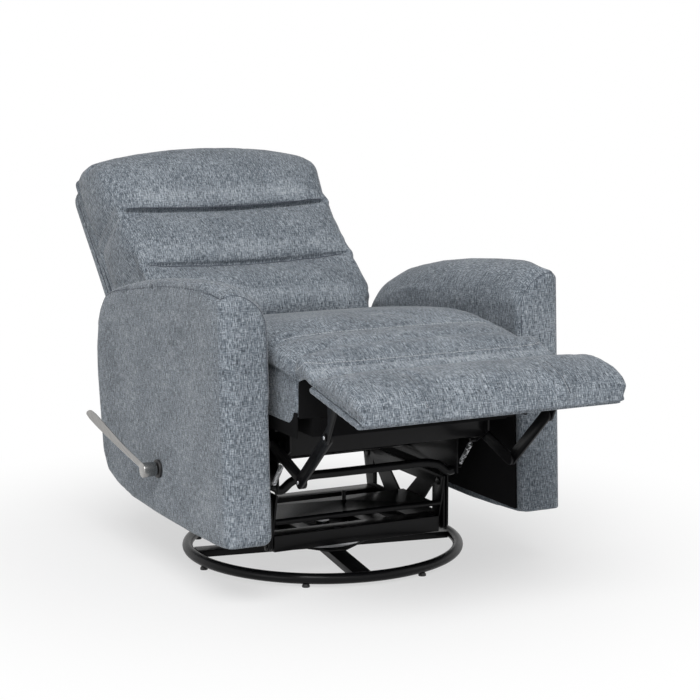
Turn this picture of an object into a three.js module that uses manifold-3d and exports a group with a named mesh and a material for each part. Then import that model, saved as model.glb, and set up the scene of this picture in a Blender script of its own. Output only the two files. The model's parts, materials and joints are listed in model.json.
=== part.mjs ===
// Swivel glider recliner, shown reclined with the footrest out.
// Millimetres, +Z up. The sitter faces -Y and the release lever is on the -X side.
// Inside the model the swivel axis is X = 0, Y = 0 and the floor is Z = 0.
import * as THREE from 'three';
import { mergeVertices } from 'three/addons/utils/BufferGeometryUtils.js';
import Module from 'manifold-3d';

const wasm = await Module();
wasm.setup();

// Width that the rest follows
const seatHalfWidth = 262;

// Shared clearances
const seatGap = 0.3; // between two faces that rest on each other
const pinPlay = 0.6; // round a rivet or shaft that turns
const sidePlay = 2; // between plates that slide past each other
const overrun = 5; // how far a cutter runs past a face

// Floor ring
const ringRadius = 287;
const ringTubeRadius = 11;
const glideHeight = 6;
const glideRadius = 8;
const glideNeckRadius = 6;
const glideCount = 7;
const glideTurn = 31.3; // degrees
const barWidth = 38;
const barDepth = 14;
const barTurn = -9.5; // degrees
const centrePlateReach = 105;
const centrePlateThickness = 3;

// Swivel bearing
const raceOuterRadius = 86;
const raceInnerRadius = 58;
const raceHeight = 9;
const cageOuterRadius = 80;
const cageInnerRadius = 64;
const cageHeight = 6;
const boltRadius = 8;
const boltHeadRadius = 14;
const boltHeadHeight = 9;
const turntableHalfWidth = 150;
const turntableHalfDepth = 120;
const turntableClip = 30;
const turntableThickness = 4;

// Lower frame that turns on the bearing
const bracketInset = 72; // from the seat cushion's side in to the side brackets
const plateThickness = 4;
const frameHalfDepth = 165;
const frameBoxDepth = 45;
const frameBoxHeight = 33;
const frameBarX = 75;
const frameBarWidth = 30;
const deckZ = 112;
const deckThickness = 3;
const deckRearY = -8;
const deckLipRadius = 6.5;
const stopPinX = 30;
const stopPinY = -40;
const stopPinRadius = 4;
const stopPinHeight = 20;
const bracketFootY = 156;
const bracketHeadY = 184;
const bracketFootZ = 60;
const bracketHeadZ = 178;
const bracketWindowEdge = 22;
const bracketWindowTop = 152;
const bracketWindowFoot = 98;
const bracketEndWindowWidth = 52;
const bracketMidWindowHalf = 66;

// Glide links
const glidePivotY = 160;
const glidePivotZ = 163;
const glideLinkLength = 90;
const glideLinkWidth = 24;
const rivetRadius = 5;
const rivetHeadRadius = 8;
const rivetHeadHeight = 2.2;

// Hanger plates and the tube between them
const hangerTopZ = 264;
const hangerFootZ = 190;
const hangerFrontY = -216;
const hangerRearY = 230;
const hangerTabRearY = 262;
const hangerTabZ = 150;
const hangerTabHeight = 34;
const hangerLobeWidth = 30;
const hangerLobeDrop = 13;
const armTabZ = 200;
const armTabHalfLength = 90;
const armTabHeight = 34;
const tubeRadius = 9;
const tubeY = -200;
const tubeZ = 216;
const tubeDrop = 22;
const tubeBendX = 130;
const rearRailDepth = 22;
const rearRailZ = 140;
const rearRailHeight = 40;

// Release shaft and lever
const shaftZ = 215;
const shaftRadius = 8;
const shaftCollarRadius = 11;
const shaftCollarLength = 5;
const shaftStandOff = 17; // beyond the arm's outer face
const bezelRadius = 19;
const bezelThickness = 6;
const hubRadius = 14.5;
const hubLength = 20;
const leverReach = 262;
const leverRise = 78;
const leverFlare = 28;
const leverThickness = 5;
const leverWidths = [17, 14, 13, 15, 19, 24, 25, 20];
const leverTwist = 62; // degrees

// Arms
const armClearance = 10; // between an arm and the seat cushion
const armWidth = 98;
const armFrontY = -311;
const armFrontThickness = 25;
const armLength = 671;
const armLowZ = 113;
const armSeamHeight = 498; // seam above the arm's lowest point, at the front
const armCrown = 18;
const armRollDepth = 98;
const armRollThickness = 6;
const armSeamBand = 28; // how far in from the outer face the pad only lies on the arm
const armPadStep = 5; // how far the pad's crest stands over the front panel
const armFrontShoulder = 79;
const armEdge = 11;
const armBoardThickness = 6;
const armBoardFootZ = 125;
const armBoardMargin = 4;

// Seat guides and side plates
const guideY = 55;
const guideZ = 245;
const guideTilt = -4; // degrees
const guideLength = 262;
const guideHeight = 21;
const guideWall = 2.5;
const guideDepth = 10;
const lugLength = 30;
const lugSpacing = 112;
const lugFrontY = -50;
const seatPlatePlay = 2.7;
const seatPlateTopZ = 342;
const seatPlateFootZ = 263;
const seatPlateFrontY = -310;
const seatPlateRearY = 256;
const seatEarInset = 12;
const seatEarFrontY = 138;
const seatEarWidth = 36;
const crossRailY = -298;
const crossRailZ = 283;
const crossRailHeight = 54;
const crossRailDepth = 26;

// Seat frame and cushion
const seatFrameFrontY = -350;
const seatFrameRearY = 234;
const seatFrameThickness = 40;
const seatFrameRib = 22;
const seatFrontY = -410;
const seatRearY = 202;
const seatFrontUnderZ = 455;
const seatRise = 149; // crest over the deck
const seatSkirtRearY = 128;
const seatStitchY = -300;
const seatStitchDepth = 7;
const seatStitchWidth = 12;
const seatEdgeFall = 14;
const seatDrawIn = 7;
const seatSkirtDrop = 26;
const seatFrontBoardMargin = 3;
const seatFrontBoardThickness = 12;

// Calf pad
const calfHingeZ = 459;
const calfLength = 80;
const calfThickness = 47;
const calfTaper = 6;
const calfFrontFall = 14;

// Footrest linkage, as it stands with the footrest out
const footPivotA = [-248, 295];
const footKnee = [-380, 251];
const footPivotB = [-505, 362];
const footLinkWidth = 26;
const footLinkThickness = 5;
const footBracketWidth = 50;
const footBracketFlange = 30;
const footBracketSetback = 16; // how far the bracket stops short of the board's rear edge

// Footrest board and pad
const boardOverhang = 8; // past the seat cushion's side
const footTilt = 10; // degrees, front edge lower
const boardRearY = -499;
const boardLength = 201;
const boardUnderZ = 413;
const boardThickness = 14;
const boardEdge = 3;
const padOverhang = 22;
const padHeight = 60;
const padEdgeHeight = 44;
const padChannelX = 92;
const padChannelDepth = 7;
const padChannelWidth = 16;
const padDrawIn = 8;

// Back, in its own frame: origin on the hinge, Z up along the back, -Y towards the sitter
const backPivotY = 310;
const backPivotZ = 417;
const backRecline = -42.7; // degrees
const backHingeRadius = 17;
const backFrontFace = 110; // front face of the frame, behind the hinge
const backFrameThickness = 24;
const backPanelThickness = 25;
const backFootZ = -95;
const backTopZ = 552;
const backTopArch = 27;
const backSideInset = 4; // in from the seat cushion's side
const backNarrowing = 16;
const backNarrowTopZ = 14;
const backWideFootZ = 42;
const backCornerRadius = 30;
const backReach = 117;
const backGrooveRise = 14;
const backEdge = 9;
const backSideSoftness = 18;
const backTopFullness = 9; // how far the pillow at the top swells sideways
const backHingeFlange = 12;

// Assist springs
const springHangerPeg = [-207, 203];
const springSeatPeg = [-260, 267];
const springCoilRadius = 4.2;
const springWireRadius = 1;
const springTurns = 15;
const springPegRadius = 4;

// Places across the chair, from the middle outwards
const bracketInnerX = seatHalfWidth - bracketInset;
const glideLinkX = bracketInnerX + plateThickness + sidePlay;
const hangerX = glideLinkX + plateThickness + sidePlay;
const hangerOuterX = hangerX + plateThickness;
const guideInnerX = hangerOuterX + seatGap;
const guideOuterX = guideInnerX + guideDepth;
const seatPlateX = guideOuterX + seatPlatePlay;
const springX = (hangerOuterX + seatPlateX) / 2;
const seatFrontBoardHalfWidth = seatPlateX + seatFrontBoardMargin;
const seatEarX = seatHalfWidth - seatEarInset;
const seatFrameHalfWidth = seatEarX - seatGap;
const armInnerX = seatHalfWidth + armClearance;
const armOuterX = armInnerX + armWidth;
const boardHalfWidth = seatHalfWidth + boardOverhang;
const backHalfWidth = seatHalfWidth - backSideInset;
const backNarrowHalfWidth = backHalfWidth - backNarrowing;

// How finely round shapes are drawn
const ringSteps = 56;
const tubeSides = 8;
const discSides = 24;
const rivetSides = 12;
const weld = 1e-4;
const turn = 2 * Math.PI;
const degree = turn / 360;

// Materials
const finish = (color, roughness, metalness) =>
  new THREE.MeshStandardMaterial({ color, roughness, metalness });
const blackSteel = () => finish(0x141416, 0.35, 0.6);
const blackPlastic = () => finish(0x101012, 0.6, 0);
const brightSteel = () => finish(0xb9bcc0, 0.3, 0.9);
const satinMetal = () => finish(0xa9a49b, 0.35, 0.9);
const fabric = () => finish(0x66727f, 0.95, 0);
const lining = () => finish(0x18181a, 0.95, 0);
const timber = () => finish(0xb08d5f, 0.8, 0);

// Closed surfaces made from rows of points
function signedVolume(positions, index) {
  let sum = 0;
  for (let i = 0; i < index.length; i += 3) {
    const [a, b, c] = [0, 1, 2].map((k) => new THREE.Vector3().fromArray(positions, 3 * index[i + k]));
    sum += a.dot(b.cross(c));
  }
  return sum / 6;
}

function flatOutline(ring) {
  const box = new THREE.Box3().setFromPoints(ring);
  const spans = box.getSize(new THREE.Vector3()).toArray();
  const thin = spans.indexOf(Math.min(...spans));
  const axes = [0, 1, 2].filter((k) => k !== thin);
  return ring.map((p) => new THREE.Vector2(p.getComponent(axes[0]), p.getComponent(axes[1])));
}

function endTriangles(ring) {
  const outline = flatOutline(ring);
  const triangles = THREE.ShapeUtils.triangulateShape(outline, []);
  const covered = triangles.reduce((sum, t) => sum + THREE.ShapeUtils.area(t.map((k) => outline[k])), 0);
  const same = covered * THREE.ShapeUtils.area(outline) > 0;
  return triangles.map(([a, b, c]) => (same ? [a, b, c] : [a, c, b]));
}

// A solid through a row of equal rings, with flat ends
function loft(rings) {
  const count = rings[0].length;
  const positions = rings.flat().flatMap((p) => p.toArray());
  const index = [];
  for (let r = 0; r + 1 < rings.length; r += 1) {
    for (let j = 0; j < count; j += 1) {
      const k = (j + 1) % count;
      const [a, b, c, d] = [r * count + j, r * count + k, (r + 1) * count + k, (r + 1) * count + j];
      index.push(a, b, c, a, c, d);
    }
  }
  const last = (rings.length - 1) * count;
  endTriangles(rings[0]).forEach(([a, b, c]) => index.push(a, c, b));
  endTriangles(rings[rings.length - 1]).forEach(([a, b, c]) => index.push(last + a, last + b, last + c));
  if (signedVolume(positions, index) < 0) index.reverse();
  const geometry = new THREE.BufferGeometry();
  geometry.setAttribute('position', new THREE.Float32BufferAttribute(positions, 3));
  geometry.setIndex(index);
  return geometry;
}

// The outline moved inwards by a distance, corner by corner
function inset(outline, distance) {
  const facing = Math.sign(THREE.ShapeUtils.area(outline));
  const count = outline.length;
  return outline.map((p, i) => {
    const before = outline[(i + count - 1) % count];
    const after = outline[(i + 1) % count];
    const normals = [[before, p], [p, after]].map(([a, b]) => {
      const along = b.clone().sub(a).normalize();
      return new THREE.Vector2(-along.y, along.x).multiplyScalar(facing);
    });
    const mean = normals[0].clone().add(normals[1]).normalize();
    return p.clone().addScaledVector(mean, distance / Math.max(mean.dot(normals[0]), 0.5));
  });
}

// A board or upholstered panel: one outline, with edges rounded by rows of insets
function panel(outline, rows, place) {
  return loft(rows.map(([at, inward]) => inset(outline, inward).map((p) => place(p.x, p.y, at))));
}

const inSide = (y, z, x) => new THREE.Vector3(x, y, z); // outline drawn in Y and Z
const inFront = (x, z, y) => new THREE.Vector3(x, y, z); // outline drawn in X and Z
const points = (list) => list.map(([a, b]) => new THREE.Vector2(a, b));

// Straight-sided plates
function acrossX(shape, from, to) {
  const depth = to - from;
  const geometry = new THREE.ExtrudeGeometry(shape, { depth, bevelEnabled: false, curveSegments: 6 });
  const swap = new THREE.Matrix4().set(0, 0, 1, from, 1, 0, 0, 0, 0, 1, 0, 0, 0, 0, 0, 1);
  return geometry.applyMatrix4(swap);
}

function upwards(shape, from, to) {
  const depth = to - from;
  const geometry = new THREE.ExtrudeGeometry(shape, { depth, bevelEnabled: false, curveSegments: 6 });
  return geometry.translate(0, 0, from);
}

function block([x0, x1], [y0, y1], [z0, z1]) {
  const geometry = new THREE.BoxGeometry(x1 - x0, y1 - y0, z1 - z0);
  return geometry.translate((x0 + x1) / 2, (y0 + y1) / 2, (z0 + z1) / 2);
}

function rod(y, z, radius, x0, x1, sides = rivetSides) {
  const geometry = new THREE.CylinderGeometry(radius, radius, Math.abs(x1 - x0), sides);
  return geometry.rotateZ(turn / 4).translate((x0 + x1) / 2, y, z);
}

function post(x, y, radius, z0, z1, sides = rivetSides) {
  const geometry = new THREE.CylinderGeometry(radius, radius, z1 - z0, sides);
  return geometry.rotateX(turn / 4).translate(x, y, (z0 + z1) / 2);
}

function turned(profile, sides = discSides) {
  const geometry = new THREE.LatheGeometry(points(profile), sides);
  return geometry.rotateX(turn / 4);
}

const ringProfile = (inner, outer, low, high) => [[inner, low], [outer, low], [outer, high], [inner, high], [inner, low]];

// Joining and cutting
function toSolid(geometry) {
  const bare = geometry.clone();
  bare.deleteAttribute('normal');
  bare.deleteAttribute('uv');
  const merged = mergeVertices(bare, weld);
  return new wasm.Manifold(new wasm.Mesh({
    numProp: 3,
    vertProperties: new Float32Array(merged.attributes.position.array),
    triVerts: new Uint32Array(merged.index.array),
  }));
}

function fromSolid(solid) {
  const mesh = solid.getMesh();
  const geometry = new THREE.BufferGeometry();
  geometry.setAttribute('position', new THREE.Float32BufferAttribute(mesh.vertProperties, 3));
  geometry.setIndex([...mesh.triVerts]);
  return geometry;
}

const joined = (...pieces) => fromSolid(pieces.map(toSolid).reduce((a, b) => a.add(b)));
const cut = (piece, ...cutters) => fromSolid(cutters.map(toSolid).reduce((a, b) => a.subtract(b), toSolid(piece)));

function mirrored(geometry) {
  const other = fromSolid(toSolid(geometry));
  other.scale(-1, 1, 1);
  other.index.array.reverse();
  return other;
}

// The whole chair and its named pieces
const chair = new THREE.Group();

function add(name, geometry, material, parent = chair) {
  const shaded = fromSolid(toSolid(geometry)).toNonIndexed();
  shaded.computeVertexNormals();
  const mesh = new THREE.Mesh(shaded, material);
  mesh.name = name;
  parent.add(mesh);
  return mesh;
}

// The piece as built is the left one, on the sitter's left at +X
function addPair(name, geometry, material, parent = chair) {
  add(`${name}_left`, geometry, material(), parent);
  add(`${name}_right`, mirrored(geometry), material(), parent);
}

// Floor base
const ringZ = glideHeight + ringTubeRadius;
const barTopZ = ringZ + barDepth / 2;
const centrePlateTopZ = barTopZ + centrePlateThickness;

function floorRing() {
  const circle = Array.from({ length: tubeSides + 1 }, (_, i) => {
    const angle = turn * ((i % tubeSides) + 0.5) / tubeSides;
    return [ringRadius + ringTubeRadius * Math.cos(angle), ringZ + ringTubeRadius * Math.sin(angle)];
  });
  return turned(circle, ringSteps);
}

function crossBars() {
  const reach = ringRadius - ringTubeRadius - seatGap;
  const half = barWidth / 2;
  const far = centrePlateReach;
  const spread = Math.asin(half / reach);
  const quarter = [0, 1, 2, 3];
  const turnedBy = (i, [x, y]) => [[x, y], [-y, x], [-x, -y], [y, -x]][i];
  const arc = [-1, -0.5, 0, 0.5, 1].map((share) => [reach * Math.cos(share * spread), reach * Math.sin(share * spread)]);
  const bars = quarter.flatMap((i) => [[half, -half], ...arc].map((p) => turnedBy(i, p)));
  const plate = quarter.flatMap((i) => [[far, -half], [far, half]].map((p) => turnedBy(i, p)));
  const cross = upwards(new THREE.Shape(points(bars)), barTopZ - barDepth, barTopZ);
  const top = upwards(new THREE.Shape(points(plate)), barTopZ - seatGap, centrePlateTopZ);
  return joined(cross, top).rotateZ(barTurn * degree);
}

add('base_ring', floorRing(), blackSteel());
add('base_cross', crossBars(), blackSteel());
const glideTopZ = ringZ - ringTubeRadius * Math.cos(turn / tubeSides / 2) - seatGap;
for (let i = 0; i < glideCount; i += 1) {
  const shoulder = glideTopZ / 2;
  const profile = [[0, 0], [glideRadius, 0], [glideRadius, shoulder], [glideNeckRadius, glideTopZ], [0, glideTopZ]];
  const glide = add(`glide_${i + 1}`, turned(profile, rivetSides), blackPlastic());
  const heading = glideTurn * degree + turn * i / glideCount;
  glide.position.set(ringRadius * Math.cos(heading), ringRadius * Math.sin(heading), 0);
}

// Swivel bearing
const lowerRaceZ = centrePlateTopZ + seatGap;
const cageZ = lowerRaceZ + raceHeight + seatGap;
const upperRaceZ = cageZ + cageHeight + seatGap;
const turntableZ = upperRaceZ + raceHeight + seatGap;
const turntableTopZ = turntableZ + turntableThickness;
add('bearing_lower_race', turned(ringProfile(raceInnerRadius, raceOuterRadius, lowerRaceZ, lowerRaceZ + raceHeight)), brightSteel());
add('bearing_cage', turned(ringProfile(cageInnerRadius, cageOuterRadius, cageZ, cageZ + cageHeight)), brightSteel());
add('bearing_upper_race', turned(ringProfile(raceInnerRadius, raceOuterRadius, upperRaceZ, upperRaceZ + raceHeight)), brightSteel());
const boltHeadZ = turntableTopZ + seatGap;
add('swivel_bolt', turned([
  [0, lowerRaceZ], [boltRadius, lowerRaceZ], [boltRadius, boltHeadZ], [boltHeadRadius, boltHeadZ],
  [boltHeadRadius, boltHeadZ + boltHeadHeight], [0, boltHeadZ + boltHeadHeight],
], rivetSides), brightSteel());

function turntable() {
  const [far, near] = [turntableHalfWidth, turntableHalfWidth - turntableClip];
  const [deep, shallow] = [turntableHalfDepth, turntableHalfDepth - turntableClip];
  const outline = new THREE.Shape(points([
    [far, -shallow], [far, shallow], [near, deep], [-near, deep], [-far, shallow], [-far, -shallow], [-near, -deep], [near, -deep],
  ]));
  const bore = post(0, 0, boltRadius + pinPlay, turntableZ - overrun, turntableTopZ + overrun);
  return cut(upwards(outline, turntableZ, turntableTopZ), bore);
}

add('turntable_plate', turntable(), blackSteel());

// Lower frame
const frameZ = turntableTopZ + seatGap;
const frameHalfWidth = bracketInnerX - seatGap;

function lowerFrame() {
  const across = [-frameHalfWidth, frameHalfWidth];
  const up = [frameZ, frameZ + frameBoxHeight];
  const inner = frameHalfDepth - frameBoxDepth;
  const bar = (x) => block([x - frameBarWidth / 2, x + frameBarWidth / 2], [-frameHalfDepth + overrun, frameHalfDepth - overrun], [frameZ, frameZ + frameBoxHeight / 2]);
  return joined(block(across, [-frameHalfDepth, -inner], up), block(across, [inner, frameHalfDepth], up), bar(-frameBarX), bar(frameBarX));
}

function deckPlate() {
  const top = deckZ + deckThickness;
  const sheet = block([-frameHalfWidth, frameHalfWidth], [-frameHalfDepth, deckRearY], [deckZ, top]);
  const lip = rod(-frameHalfDepth, deckZ + deckLipRadius, deckLipRadius, -frameHalfWidth, frameHalfWidth);
  const pin = post(stopPinX, stopPinY, stopPinRadius, deckZ + deckThickness / 2, top + stopPinHeight);
  return joined(sheet, lip, pin);
}

function sideBracket() {
  const outline = new THREE.Shape(points([
    [-bracketFootY, bracketFootZ], [bracketFootY, bracketFootZ], [bracketHeadY, bracketHeadZ], [-bracketHeadY, bracketHeadZ],
  ]));
  const far = bracketFootY - bracketWindowEdge;
  const near = far - bracketEndWindowWidth;
  const mid = bracketMidWindowHalf;
  const [foot, top] = [bracketWindowFoot, bracketWindowTop];
  const outerX = bracketInnerX + plateThickness;
  const windows = [
    [[far, foot], [far, top], [near, foot]],
    [[-far, foot], [-near, foot], [-far, top]],
    [[-mid, top], [0, foot], [mid, top]],
  ].map((corners) => acrossX(new THREE.Shape(points(corners)), bracketInnerX - overrun, outerX + overrun));
  const bores = [-1, 1].map((side) => boreFor([side * glidePivotY, glidePivotZ], bracketInnerX));
  return cut(acrossX(outline, bracketInnerX, outerX), ...windows, ...bores);
}

add('lower_frame', lowerFrame(), blackSteel());
add('deck_plate', deckPlate(), blackSteel());
addPair('side_bracket', sideBracket(), blackSteel);

// Links: a flat bar with round ends, and a rivet at each end that runs through the next plate
function linkBar([y0, z0], [y1, z1], width, x0, x1) {
  const length = Math.hypot(y1 - y0, z1 - z0);
  const half = width / 2;
  const outline = new THREE.Shape();
  outline.absarc(0, 0, half, turn / 4, 3 * turn / 4, false);
  outline.absarc(length, 0, half, -turn / 4, turn / 4, false);
  outline.closePath();
  const bar = acrossX(outline, x0, x1);
  return bar.rotateX(Math.atan2(z1 - z0, y1 - y0)).translate(0, y0, z0);
}

// from: the link's face; to: the far face of the plate that the rivet runs through
function rivet([y, z], from, to) {
  const way = Math.sign(to - from);
  const head = to + way * seatGap;
  const stem = rod(y, z, rivetRadius, from - way * seatGap, head + way * rivetHeadHeight / 2);
  return [stem, rod(y, z, rivetHeadRadius, head, head + way * rivetHeadHeight)];
}

function boreFor([y, z], x) {
  return rod(y, z, rivetRadius + pinPlay, x - overrun, x + 2 * overrun);
}

// Glide links hang from the brackets and carry the hanger plates
const glideFootZ = glidePivotZ - glideLinkLength;
for (const [name, side] of [['front', -1], ['rear', 1]]) {
  const high = [side * glidePivotY, glidePivotZ];
  const low = [side * glidePivotY, glideFootZ];
  const link = joined(
    linkBar(low, high, glideLinkWidth, glideLinkX, glideLinkX + plateThickness),
    ...rivet(high, glideLinkX, bracketInnerX),
    ...rivet(low, glideLinkX + plateThickness, hangerX + plateThickness),
  );
  addPair(`glide_link_${name}`, link, blackSteel);
}

// Hanger plates: the chair's own side frames
function hangerPlate() {
  const half = hangerLobeWidth / 2;
  const [front, rear] = [hangerFrontY, hangerRearY];
  const lobe = (centre) => [
    [centre - half, hangerFootZ], [centre - half, glideFootZ], [centre - half / 2, glideFootZ - hangerLobeDrop],
    [centre + half / 2, glideFootZ - hangerLobeDrop], [centre + half, glideFootZ], [centre + half, hangerFootZ],
  ];
  const outline = new THREE.Shape(points([
    [front, hangerFootZ], ...lobe(-glidePivotY), ...lobe(glidePivotY), [rear - half, hangerFootZ], [rear, hangerTabZ],
    [hangerTabRearY, hangerTabZ], [hangerTabRearY, hangerTabZ + hangerTabHeight], [rear, hangerFootZ + half], [rear, hangerTopZ], [front, hangerTopZ],
  ]));
  const shelfTop = armTabZ + plateThickness;
  const inner = armInnerX - seatGap;
  const along = [-armTabHalfLength, armTabHalfLength];
  const plate = joined(
    acrossX(outline, hangerX, hangerOuterX),
    block([hangerX, inner], along, [armTabZ, shelfTop]),
    block([inner - plateThickness, inner], along, [armTabZ, armTabZ + armTabHeight]),
  );
  const feet = [-1, 1].map((side) => boreFor([side * glidePivotY, glideFootZ], hangerX));
  const peg = rod(...springHangerPeg, springPegRadius, hangerX + plateThickness / 2, springX + springCoilRadius);
  const shaftBore = rod(0, shaftZ, shaftRadius + pinPlay, hangerX - overrun, armInnerX, discSides);
  return cut(joined(plate, peg), ...feet, shaftBore);
}

function crossTube() {
  const end = hangerX - seatGap;
  const bend = end - tubeBendX;
  const lowZ = tubeZ - tubeDrop;
  const half = [[end, lowZ], [end - bend / 5, lowZ], [end - bend / 2, tubeZ - tubeDrop / 3], [tubeBendX, tubeZ]];
  const route = [...half.map(([x, z]) => [-x, z]), ...half.reverse()];
  const path = new THREE.CatmullRomCurve3(route.map(([x, z]) => new THREE.Vector3(x, tubeY, z)), false, 'centripetal');
  const section = new THREE.Shape().absarc(0, 0, tubeRadius, 0, turn, false);
  return new THREE.ExtrudeGeometry(section, { steps: 26, curveSegments: tubeSides, bevelEnabled: false, extrudePath: path });
}

addPair('hanger_plate', hangerPlate(), blackSteel);
add('front_cross_tube', crossTube(), blackSteel());
const railStartY = hangerTabRearY + seatGap;
add('rear_rail', block(
  [-(armInnerX - seatGap), armInnerX - seatGap],
  [railStartY, railStartY + rearRailDepth],
  [rearRailZ, rearRailZ + rearRailHeight],
), timber());

// Arms: the seam runs back from the front, then turns down at the rear
const armBackOfFront = armFrontY + armFrontThickness;
const armPadStartY = armBackOfFront + seatGap;

// Shares of the arm's length and of its seam height, lean in degrees, then crown, inward fall and roll depth shares
const armSeamShares = [
  [0.038, 1, 6, 0.9, 0, 1],
  [0.12, 0.996, 7, 1, 0, 1],
  [0.27, 0.98, 7, 0.95, 0, 1],
  [0.434, 0.958, 8, 0.9, 0, 1],
  [0.608, 0.921, 9, 0.92, 0.02, 0.95],
  [0.747, 0.892, 10, 0.6, 0.06, 0.9],
  [0.836, 0.871, 16, 0.35, 0.12, 0.8],
  [0.911, 0.835, 34, 0.25, 0.18, 0.65],
  [0.958, 0.771, 52, 0.2, 0.2, 0.55],
  [0.985, 0.701, 66, 0.2, 0.2, 0.5],
];
const armUndersideShares = [
  [1, 0.61], [0.999, 0.5], [0.985, 0.37], [0.958, 0.15], [0.915, 0.072], [0.83, 0.036], [0.7, 0.01], [0.435, 0], [0.267, 0], [0.1, 0.012],
];
const seamStations = armSeamShares.map(([along, up, lean, crown, fall, roll], i) => ({
  y: i === 0 ? armPadStartY : armFrontY + along * armLength,
  z: armLowZ + up * armSeamHeight,
  lean: lean * degree,
  crown: crown * armCrown,
  fall: fall * armRollDepth,
  roll: roll * armRollDepth,
}));

const seamPoint = ({ y, z, lean }, height) => [y + height * Math.sin(lean), z + height * Math.cos(lean)];

function armOutline(lowest, underRoll) {
  const under = [...armUndersideShares, [armFrontThickness / armLength, 0.02]];
  const low = under.map(([along, up]) => [armFrontY + along * armLength, Math.max(armLowZ + up * armSeamHeight, lowest)]);
  low[low.length - 1][0] = armPadStartY;
  const top = seamStations.map((station) => seamPoint(station, underRoll ? station.crown - station.roll - station.fall : 0));
  top[0][0] = armPadStartY;
  return points([...top, ...low]);
}

const armRollX = armOuterX - armSeamBand;

function armSide() {
  const inner = armInnerX + armBoardThickness + seatGap;
  const full = armOutline(armLowZ, false);
  const low = armOutline(armLowZ, true);
  const rows = [
    [inner, low, 0], [armRollX, low, 0], [armRollX + seatGap, full, 0],
    [armOuterX - armEdge, full, 0], [armOuterX - armEdge / 3, full, armEdge / 4], [armOuterX, full, armEdge],
  ];
  return loft(rows.map(([x, outline, inward]) => inset(outline, inward).map((p) => inSide(p.x, p.y, x))));
}

function armBoard() {
  const rows = [[armInnerX, 0], [armInnerX + armBoardThickness, 0]];
  return panel(inset(armOutline(armBoardFootZ, true), armBoardMargin), rows, inSide);
}

// Section of the top pad: shares of its width in from the outer face, with shares of its crown and of its roll
const armCrownShares = [[0, 0], [0.01, 0.5], [0.08, 0.88], [0.24, 1]];
const armRollShares = [[0.43, 0.04], [0.6, 0.12], [0.75, 0.245], [0.86, 0.38], [0.945, 0.55], [0.99, 0.735], [1, 0.88], [0.975, 0.98], [0.95, 1]];

function armPadSection({ crown, fall, roll }) {
  const width = armWidth + armRollThickness;
  const over = armCrownShares.map(([inward, up]) => [armOuterX - inward * width, seatGap + up * crown]);
  const rolled = armRollShares.map(([inward, down]) => [armOuterX - inward * width, seatGap + crown - down * roll - inward * fall]);
  const foot = rolled[rolled.length - 1][1];
  return [...over, ...rolled, [armRollX, foot], [armRollX, seatGap]];
}

function armPad() {
  const rings = seamStations.map((station, i) => armPadSection(station).map(([x, height]) => {
    const [y, z] = seamPoint(station, height);
    return new THREE.Vector3(x, i === 0 ? station.y : y, z);
  }));
  return loft(rings);
}

// Top of the front panel: shares of the arm's width in from the outer face, and of its shoulder down from the crest
const armFrontShares = [
  [0, 0.38], [0.03, 0.15], [0.12, 0.025], [0.255, 0], [0.46, 0.076], [0.63, 0.177], [0.8, 0.342], [0.89, 0.48], [0.96, 0.67], [1, 1],
];

function armFrontPanel() {
  const first = seamStations[0];
  const crestZ = first.z + first.crown * Math.cos(first.lean) - armPadStep;
  const top = armFrontShares.map(([inward, down]) => [armOuterX - inward * armWidth, crestZ - down * armFrontShoulder]);
  const soft = armEdge;
  const foot = armBoardFootZ;
  const outline = points([
    [armOuterX, foot + soft], ...top, [armInnerX, foot + soft], [armInnerX + soft, foot], [armOuterX - soft, foot], [armOuterX - soft / 3, foot + soft / 3],
  ]);
  const rows = [[armBackOfFront, 0], [armFrontY + soft, 0], [armFrontY + soft / 3, soft / 4], [armFrontY, soft]];
  return panel(outline, rows, inFront);
}

const shaftBoreThroughArm = () => rod(0, shaftZ, shaftRadius + pinPlay, armInnerX - overrun, armOuterX + overrun, discSides);
for (const [side, flip] of [['left', (g) => g], ['right', (g) => mirrored(cut(g, shaftBoreThroughArm()))]]) {
  add(`arm_side_${side}`, flip(armSide()), fabric());
  add(`arm_board_${side}`, flip(armBoard()), lining());
}
addPair('arm_pad', armPad(), fabric);
addPair('arm_front', armFrontPanel(), fabric);

// Release shaft and lever, on the sitter's right
function bezel() {
  const outerX = -armOuterX - seatGap;
  const disc = rod(0, shaftZ, bezelRadius, outerX - bezelThickness, outerX, discSides);
  return cut(disc, rod(0, shaftZ, shaftRadius + pinPlay, outerX - bezelThickness - overrun, outerX + overrun, discSides));
}

const shaftEndX = -(armOuterX + shaftStandOff);

function releaseShaft() {
  const inner = hangerOuterX + seatGap;
  const collar = rod(0, shaftZ, shaftCollarRadius, inner, inner + shaftCollarLength, discSides);
  return joined(rod(0, shaftZ, shaftRadius, shaftEndX, inner + shaftCollarLength / 2, discSides), collar);
}

function leverHandle() {
  const hubOuterX = shaftEndX - seatGap - hubLength;
  const hub = rod(0, shaftZ, hubRadius, hubOuterX, shaftEndX - seatGap, discSides);
  const last = leverWidths.length - 1;
  const rings = leverWidths.map((width, i) => {
    const share = i / last;
    const bow = Math.sin(share * turn / 4);
    const centre = new THREE.Vector3(
      hubOuterX + hubLength / 2 - leverFlare * share * share,
      leverReach * share,
      shaftZ + leverRise * (share * share * 0.6 + share * 0.4),
    );
    const roll = leverTwist * degree * bow;
    const wide = new THREE.Vector3(Math.sin(roll), 0, Math.cos(roll)).multiplyScalar(width / 2);
    const thin = new THREE.Vector3(Math.cos(roll), 0, -Math.sin(roll)).multiplyScalar(leverThickness / 2);
    const corners = [[1, 0.3], [0.8, 1], [-0.8, 1], [-1, 0.3], [-1, -0.3], [-0.8, -1], [0.8, -1], [1, -0.3]];
    return corners.map(([a, b]) => centre.clone().addScaledVector(wide, a).addScaledVector(thin, b));
  });
  return joined(hub, loft(rings));
}

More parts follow.
